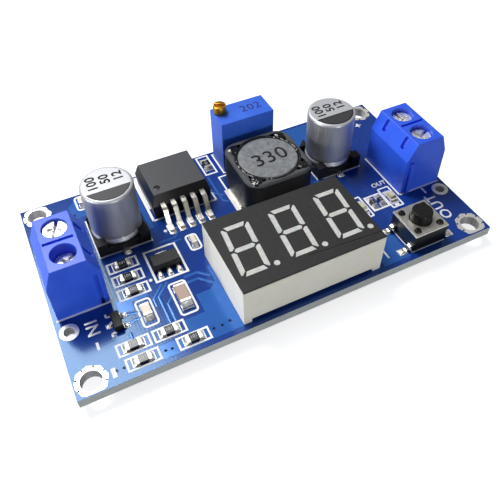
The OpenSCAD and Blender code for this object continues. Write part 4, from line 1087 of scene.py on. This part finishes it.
class CONVERTER_OT_finish_terminals(bpy.types.Operator):
    """Screw terminals: blue housings, contact cages and nickel screws"""

    bl_idname = "converter.finish_terminals"
    bl_label = "Screw Terminals"

    # The slope that carries the probe slots: its foot's height above the board and its run
    slope_foot, slope_run = 6.8 * MM, 1.4 * MM
    slot_length, slot_width, slot_sink = 2.3 * MM, 0.95 * MM, 0.25 * MM
    # Where a slot's middle lies on the slope: its share of the way down
    slot_run, slot_drop = 0.62, 0.38

    def slotted_shell(self, end, inward):
        """The housing with a rounded probe slot sunk into its inner slope beside each screw."""
        shell = copy_of_node(f"{end}_terminal_housing", f"{end}_terminal_shell")
        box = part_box(f"{end}_terminal_housing")
        slope_rise = box[1].z - BOARD_TOP - self.slope_foot
        lean = math.atan2(slope_rise, self.slope_run)
        edge = box[1].x if inward > 0 else box[0].x
        inwards = Vector((-inward * math.sin(lean), 0, -math.cos(lean)))
        cutters = []
        for row in ("front", "back"):
            cutter = added(bpy.ops.mesh.primitive_cylinder_add, vertices=24, radius=self.slot_width / 2,
                           depth=self.slot_length)
            open_mesh(cutter, "EDGE")
            pick(cutter, lambda e: e.verts[0].co.z * e.verts[1].co.z > 0, "edges")
            bpy.ops.mesh.bevel(offset=self.slot_width * 0.42, segments=4, affect="EDGES")
            close_mesh()
            mouth = Vector((edge - inward * self.slope_run * self.slot_run,
                            middle(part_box(f"{end}_clamp_screw_{row}")).y, box[1].z - slope_rise * self.slot_drop))
            cutters.append(settle(cutter, mouth + inwards * self.slot_sink, (0, -inward * (math.pi / 2 - lean), 0)))
        slots = joined(cutters, "slots")
        modified(shell, "BOOLEAN", operation="DIFFERENCE", solver="EXACT", object=slots)
        discard(slots)
        return shell

    def execute(self, context):
        plastic = finish("moulded_polyamide", context.scene.converter_plastic.terminal)
        steel, nickel = finish("pressed_contact_steel"), finish("nickel_screw")
        for end, inward in (("input", 1), ("output", -1)):
            shell = finish_piece(self.slotted_shell(end, inward), plastic)
            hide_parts(f"{end}_terminal_housing")
            dress(steel, f"{end}_terminal_contacts", f"{end}_clamp_plate_front", f"{end}_clamp_plate_back")
            dress(nickel, f"{end}_clamp_screw_front", f"{end}_clamp_screw_back")
        return {"FINISHED"}


class CONVERTER_OT_finish_capacitors(bpy.types.Operator):
    """Capacitors: drawn cans, black bases, the polarity mark and plain numbers on top"""

    bl_idname = "converter.finish_capacitors"
    bl_label = "Capacitors"

    mark_height = 0.012 * MM
    # How far the mark stays inside the can, and its rim's width round it and along its chord
    margin, rim, chord_rim = 0.42 * MM, 0.2 * MM, 0.12 * MM
    # Numbers as (column, row, text), in millimetres from the can's axis
    columns = ((-1.95, 0.75, "100"), (0.05, 1.05, "50"), (2.05, 0.95, "12"))
    number_size = 2.05 * MM

    def segment(self, centre, z, radius, chord):
        """The part of a disc in front of a chord."""
        obj = disc(0, 0, 0, radius, 64)
        open_mesh(obj)
        bpy.ops.mesh.bisect(plane_co=(0, chord, 0), plane_no=(0, 1, 0), clear_outer=True)
        close_mesh()
        return settle(obj, (centre.x, centre.y, z))

    def execute(self, context):
        dress(drawn_aluminium(), "input_capacitor_can", "output_capacitor_can")
        dress(finish("black_phenolic"), "input_capacitor_base", "output_capacitor_base")
        rims, marks, letters = [], [], []
        for name, chord in (("input_capacitor_can", -1.25 * MM), ("output_capacitor_can", -1.1 * MM)):
            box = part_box(name)
            centre, z = middle(box), box[1].z
            radius = (box[1].x - box[0].x) / 2 - self.margin
            rims.append(self.segment(centre, z, radius, chord))
            marks.append(self.segment(centre, z, radius - self.rim, chord - self.chord_rim))
            for column, row, text in self.columns:
                letters.append(lettering(text, centre.x + column * MM, centre.y + row * MM, z, self.number_size,
                                         math.pi / 2, 1.05, 0.05 * MM))
        height, slot = self.mark_height, "capacitor_base"
        print_piece(rims, "polarity_rims", height, ink("rim_ink", "#0b0b0c", 0.4))
        print_piece(marks, "polarity_marks", 2 * height, ink("dark_grey_ink", "#323236"))
        print_piece(letters, "capacitor_numbers", height, ink("black_ink", "#0d0d10", 0.45))
        return {"FINISHED"}


class CONVERTER_OT_finish_regulators(bpy.types.Operator):
    """Moulded packages: both regulators, the transistor, the diode and the controller"""

    bl_idname = "converter.finish_regulators"
    bl_label = "Moulded Packages"

    # The dimple by the first lead: place from the package's centre, radius and depth, in millimetres
    dimple = (-3.35, -2.5, 0.5, 0.12)

    def pin_mark(self):
        """A near-black floor and rim in the dimple by the first lead, its middle raised: painted shade in the recess.
        """
        x, y, radius, depth = mm(*self.dimple)
        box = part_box("regulator_body")
        centre = middle(box)
        obj = disc(centre.x + x, centre.y + y, box[1].z - depth + 0.005 * MM, radius * 0.96, 32)
        open_mesh(obj)
        bpy.ops.mesh.inset(thickness=radius * 0.3, depth=0)
        push(0, 0, depth * 0.5)
        close_mesh()
        return obj

    def execute(self, context):
        package = context.scene.converter_plastic.package
        dress(moulded_epoxy("moulded_epoxy", package, "#46474b", "#0b0b0c"),
              "regulator_body", "catch_diode_body", "controller_body")
        dress(moulded_epoxy("small_moulded_epoxy", "#0b0b0c", "#17171a", "#050506", 0.3),
              "logic_regulator_body", "transistor_body")
        # the dimple's near-black disc is painted shade in the recess
        print_piece([self.pin_mark()], "pin_mark", 0.01 * MM, ink("dimple_black", "#050506", 0.3))
        return {"FINISHED"}


class CONVERTER_OT_finish_inductor(bpy.types.Operator):
    """Inductor: ferrite, winding, pooled glue in the corners and a plain number"""

    bl_idname = "converter.finish_inductor"
    bl_label = "Inductor"

    # Glue drops as (turn in degrees, distance from the centre, length, width, height) in millimetres
    drops = ((45, 6.0, 1.9, 2.3, 0.6), (135, 6.0, 1.9, 2.4, 0.6),
             (225, 5.95, 2.0, 2.6, 0.65), (315, 6.0, 1.9, 2.4, 0.6))
    # How far the pool lies below its moulded level, and the drops and the seam below the shield's top
    pool_sink, drop_sink, seam_sink = 0.35 * MM, 0.28 * MM, 0.17 * MM
    seam_radius, seam_width = 5.2 * MM, 0.3 * MM
    number_height = 0.012 * MM

    def pool(self):
        """The glue in the shield's corners, with its top let down."""
        obj = copy_of_node("inductor_adhesive", "pooled_glue")
        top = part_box("inductor_adhesive")[1].z
        open_mesh(obj)
        pick(obj, lambda f: f.normal.z > 0.9 and f.calc_center_median().z > top - 0.05 * MM)
        push(0, 0, -self.pool_sink)
        close_mesh()
        return obj

    def glue_seam(self, centre, z):
        """The uneven ring of glue between the core's top and the shield."""
        obj = added(bpy.ops.mesh.primitive_torus_add, major_segments=72, minor_segments=10,
                    major_radius=self.seam_radius, minor_radius=self.seam_width,
                    location=(centre.x, centre.y, z - self.seam_sink))
        settle(obj, scale=(1, 1, 0.8))
        open_mesh(obj, "VERT")
        bpy.ops.transform.vertex_random(offset=0.07 * MM, uniform=0.6, seed=5)
        bpy.ops.mesh.vertices_smooth(factor=0.5, repeat=2)
        close_mesh()
        bpy.ops.object.shade_smooth()
        return obj

    def glue_drop(self, length, width, height):
        """A pooled drop: a ball drawn out on one side, cut level below, pressed flat and subdivided."""
        obj = added(bpy.ops.mesh.primitive_uv_sphere_add, segments=20, ring_count=12, radius=0.5)
        open_mesh(obj, "VERT")
        pick(obj, lambda v: v.co.x > 0.3, "verts")
        bpy.ops.transform.translate(value=(0.12, 0.05, -0.05), use_proportional_edit=True,
                                    proportional_edit_falloff="SMOOTH", proportional_size=0.5)
        bpy.ops.mesh.select_all(action="SELECT")
        bpy.ops.mesh.bisect(plane_co=(0, 0, -0.12), plane_no=(0, 0, -1), clear_outer=True, use_fill=True)
        close_mesh()
        settle(obj, scale=(length, width, height * 1.6))
        modified(obj, "SUBSURF", levels=1, render_levels=1)
        bpy.ops.object.shade_smooth()
        return obj

    def execute(self, context):
        dress(fired_ferrite(), "inductor_shield")
        dress(finish("ground_ferrite"), "inductor_core")
        dress(enamelled_copper(), "inductor_winding")
        glue = finish("cured_glue")
        pool = finish_piece(self.pool(), glue)
        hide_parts("inductor_adhesive")
        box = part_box("inductor_shield")
        centre, z = middle(box), box[1].z
        blobs = []
        for turn, away, *size in self.drops:
            angle = math.radians(turn)
            master = self.glue_drop(*mm(*size))
            blobs.append(copy_to(master, centre.x + away * MM * math.cos(angle),
                                 centre.y + away * MM * math.sin(angle), z - self.drop_sink, angle))
            discard(master)
        blobs.append(self.glue_seam(centre, z))
        finish_piece(joined(blobs, "glue_drops"), glue)
        number = lettering("330", centre.x + 0.3 * MM, centre.y - 0.2 * MM, z, 4.0 * MM, 0.05, 1.05, 0.02 * MM)
        print_piece([number], "inductor_number", self.number_height, ink("grey_black_ink", "#1d1d20"))
        return {"FINISHED"}


class CONVERTER_OT_finish_trimmer(bpy.types.Operator):
    """Trimmer: blue body, brass screw and a plain number"""

    bl_idname = "converter.finish_trimmer"
    bl_label = "Trimmer"

    slot_turn = math.radians(85)
    number_height = 0.012 * MM

    def screw(self):
        """The brass screw with its slot turned across the view and its edges broken."""
        centre = middle(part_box("trimmer_screw"))
        across = Vector((centre.x, centre.y, 0))
        turned = across.copy()
        turned.rotate(Euler((0, 0, self.slot_turn)))
        obj = settle(copy_of_node("trimmer_screw", "brass_screw"), across - turned, (0, 0, self.slot_turn))
        modified(obj, "BEVEL", width=0.1 * MM, segments=2, limit_method="ANGLE", angle_limit=math.radians(50))
        bpy.ops.object.shade_smooth_by_angle(angle=math.radians(35))
        return obj

    def execute(self, context):
        dress(finish("trimmer_thermoset", context.scene.converter_plastic.trimmer), "trimmer_body")
        screw = finish_piece(self.screw(), turned_brass(), "trimmer_screw")
        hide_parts("trimmer_screw")
        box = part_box("trimmer_body")
        number = lettering("202", box[1].x - 3.1 * MM, middle(box).y + 0.1 * MM, box[1].z, 2.35 * MM, space=1.1)
        print_piece([number], "trimmer_number", self.number_height, ink("navy_ink", "#0f1c5c"))
        return {"FINISHED"}


class CONVERTER_OT_finish_display(bpy.types.Operator):
    """Display: off-white housing, dark face and milky digits"""

    bl_idname = "converter.finish_display"
    bl_label = "Display"

    seam_width, seam_height = 0.055 * MM, 0.01 * MM
    # The crease: its two ends along X, and how far each lies in front of the digits, in millimetres
    crease = ((1.2, 0.25), (12.7, 1.0))
    crease_width, crease_height = 0.09 * MM, 0.02 * MM

    def segment_seams(self):
        """The dark seam round each bar, where the casting meets the face."""
        obj = copy_of_node("display_segments", "segment_seams")
        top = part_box("display_segments")[1].z
        open_mesh(obj)
        pick(obj, lambda f: f.normal.z < 0.9 or f.calc_center_median().z < top - 0.01 * MM)
        bpy.ops.mesh.delete(type="FACE")
        bpy.ops.mesh.select_all(action="SELECT")
        bpy.ops.mesh.inset(thickness=self.seam_width, depth=0)
        bpy.ops.mesh.delete(type="FACE")
        close_mesh()
        return obj

    def execute(self, context):
        settings = context.scene.converter_plastic
        dress(finish("display_moulding", settings.display), "display_housing")
        dress(printed_face(settings.face), "display_face")
        dress(finish("milky_segments"), "display_segments")
        dress(finish("potting_resin"), "display_base")
        print_piece([self.segment_seams()], "segment_seams", self.seam_height, ink("seam_black", "#161616"))
        (x0, away0), (x1, away1) = (mm(*end) for end in self.crease)
        digits, face_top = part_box("display_segments")[0].y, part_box("display_face")[1].z
        crease = ink_line(x0, digits - away0, x1, digits - away1, self.crease_width, face_top)
        print_piece([crease], "face_crease", self.crease_height, ink("creased_film", "#101011", 0.25))
        return {"FINISHED"}


class CONVERTER_OT_finish_switch(bpy.types.Operator):
    """Tact switch: steel cover, black base with rivet heads, button and dome"""

    bl_idname = "converter.finish_switch"
    bl_label = "Switch"

    def execute(self, context):
        dress(brushed_cover(), "switch_cover")
        dress(finish("pressed_contact_steel"), "switch_dome")
        dress(finish("switch_base_moulding"), "switch_base")
        dress(finish("button_moulding", context.scene.converter_plastic.button), "switch_button")
        return {"FINISHED"}


class CONVERTER_OT_finish_chips(bpy.types.Operator):
    """Chip resistors with plain numbers, ceramic capacitors and indicator lamps"""

    bl_idname = "converter.finish_chips"
    bl_label = "Chips and Lamps"

    # The large ceramic chip lies right of the first and in front of the second
    split_x, split_y = -18.0 * MM, -5.0 * MM
    number_height = 0.008 * MM

    def execute(self, context):
        dress(finish("resistor_glaze"), "resistor_bodies")
        dress(fired_ceramic("#a68c7a", "#e6dac4", self.split_x, self.split_y), "ceramic_capacitor_bodies")
        dress(finish("lamp_laminate"), "indicator_led_bases")
        dress(finish("clear_lens"), "indicator_led_lenses")
        numbers = []
        for box in solids("resistor_bodies"):
            size, centre = box[1] - box[0], middle(box)
            turn = 0 if size.x > size.y else math.pi / 2
            numbers.append(lettering("101", centre.x, centre.y, box[1].z, min(size.x, size.y) * 0.6, turn))
        print_piece(numbers, "resistor_numbers", self.number_height, ink("pale_ink", "#c9cbd0"))
        return {"FINISHED"}


class CONVERTER_OT_set_stage(bpy.types.Operator):
    """Floor, light and camera"""

    bl_idname = "converter.set_stage"
    bl_label = "Stage"

    # Where the camera stands, in millimetres, and its tilt, roll and pan in degrees
    camera_place = (-27.615, -57.984, 70.271)
    camera_turn = (42.601, 0.584, -26.022)
    camera_lens = {"sensor_width": 36, "lens": 41.8, "shift_x": -0.0016, "shift_y": -0.05, "clip_start": 0.005,
                   "clip_end": 10}
    # Lamps by name, with their place and side in metres; their power is in the settings
    lamps = {"key": ((-0.075, 0.165, 0.303), 0.17), "side": ((-0.36, -0.03, 0.06), 0.12),
             "fill": ((0.02, -0.38, 0.035), 0.06)}
    # How far the floor lies below the part, and how bright the camera sees it
    floor_gap, floor_lift = 0.02 * MM, 0.78

    def lamp(self, name, place, size, power):
        """A square lamp aimed at the middle of the board."""
        lamp = rename(added(bpy.ops.object.light_add, type="AREA", location=place), f"{name}_lamp")
        lamp.data.shape = "SQUARE"
        lamp.data.size = size
        lamp.data.energy = power
        lamp.rotation_euler = (-Vector(place)).to_track_quat("-Z", "Y").to_euler()

    def floor(self, color, z):
        """A wide pale floor that shows white to the camera away from the shadow."""
        floor = rename(added(bpy.ops.mesh.primitive_plane_add, size=4, location=(0, 0, z)), "floor")
        material, tree, shader, place = start_material("pale_floor", color, 0.9)
        tint(tree, shader, place, color, "#bcbfc4", 60)
        # the camera sees it brighter than the part is lit by it, and its shadow stays
        shader.inputs["Emission Color"].default_value = (1, 1, 1, 1)
        drive(tree, shader, Emission_Strength=calculate(tree, "MULTIPLY", seen_directly(tree), self.floor_lift))
        # its underside is clear, so that the board's underside can be seen
        below = add_node(tree, "ShaderNodeNewGeometry").outputs["Backfacing"]
        clear = add_node(tree, "ShaderNodeBsdfTransparent")
        mixed = add_node(tree, "ShaderNodeMixShader", {0: below, 1: shader.outputs[0], 2: clear.outputs[0]})
        tree.links.new(mixed.outputs[0], tree.nodes["Material Output"].inputs["Surface"])
        floor.data.materials.append(material)

    def world(self, strength, mirrored):
        """Even light from all round, seen as white by the camera and dimmer in reflections."""
        world = bpy.data.worlds.new("surroundings")
        bpy.context.scene.world = world
        world.use_nodes = True
        tree = world.node_tree
        background = tree.nodes["Background"]
        background.inputs["Color"].default_value = (1, 1, 1, 1)
        glossy = add_node(tree, "ShaderNodeLightPath").outputs["Is Glossy Ray"]
        level = spread(tree, seen_directly(tree), spread(tree, glossy, strength, mirrored), 1.0)
        drive(tree, background, Strength=level)

    def camera(self):
        """Camera above the front left corner, 95 mm from the board's middle."""
        camera = added(bpy.ops.object.camera_add, location=mm(*self.camera_place))
        camera.name = "camera"
        camera.rotation_euler = [math.radians(angle) for angle in self.camera_turn]
        for name, value in self.camera_lens.items():
            setattr(camera.data, name, value)
        bpy.context.scene.camera = camera

    def execute(self, context):
        settings = context.scene.converter_stage
        context.scene.view_settings.view_transform = "Standard"
        self.floor(settings.floor, CAD_BOX[0][2] - self.floor_gap)
        self.world(settings.sky, settings.mirrored)
        for name, (place, size) in self.lamps.items():
            self.lamp(name, place, size, getattr(settings, name))
        self.camera()
        return {"FINISHED"}


# ---------------------------------------------------------------- panel and registration

STEPS = (
    CONVERTER_OT_set_stage,
    CONVERTER_OT_finish_board,
    CONVERTER_OT_lay_tracks,
    CONVERTER_OT_print_outlines,
    CONVERTER_OT_print_letters,
    CONVERTER_OT_drill_vias,
    CONVERTER_OT_flow_solder,
    CONVERTER_OT_finish_terminals,
    CONVERTER_OT_finish_capacitors,
    CONVERTER_OT_finish_regulators,
    CONVERTER_OT_finish_inductor,
    CONVERTER_OT_finish_trimmer,
    CONVERTER_OT_finish_display,
    CONVERTER_OT_finish_switch,
    CONVERTER_OT_finish_chips,
)
SETTINGS = {
    "converter_board": ConverterBoardSettings,
    "converter_plastic": ConverterPlasticSettings,
    "converter_stage": ConverterStageSettings,
}


class CONVERTER_PT_panel(bpy.types.Panel):
    """Settings and steps of the converter module"""

    bl_idname = "CONVERTER_PT_panel"
    bl_label = "Converter Module"
    bl_space_type = "VIEW_3D"
    bl_region_type = "UI"
    bl_category = "Converter"

    def draw(self, context):
        for name, group in SETTINGS.items():
            column = self.layout.column(align=True)
            for key in group.__annotations__:
                column.prop(getattr(context.scene, name), key)
        column = self.layout.column(align=True)
        for step in STEPS:
            column.operator(step.bl_idname)


def register():
    """Registers the classes and puts the settings on the scene."""
    for name, group in SETTINGS.items():
        bpy.utils.register_class(group)
        setattr(bpy.types.Scene, name, bpy.props.PointerProperty(type=group))
    for step in STEPS:
        bpy.utils.register_class(step)
    bpy.utils.register_class(CONVERTER_PT_panel)


def unregister():
    """Takes the classes and the settings away again."""
    bpy.utils.unregister_class(CONVERTER_PT_panel)
    for step in reversed(STEPS):
        bpy.utils.unregister_class(step)
    for name, group in SETTINGS.items():
        delattr(bpy.types.Scene, name)
        bpy.utils.unregister_class(group)


def main():
    """Runs every step in order."""
    register()
    for step in STEPS:
        group, name = step.bl_idname.split(".")
        getattr(getattr(bpy.ops, group), name)()


if __name__ == "__main__":
    main()
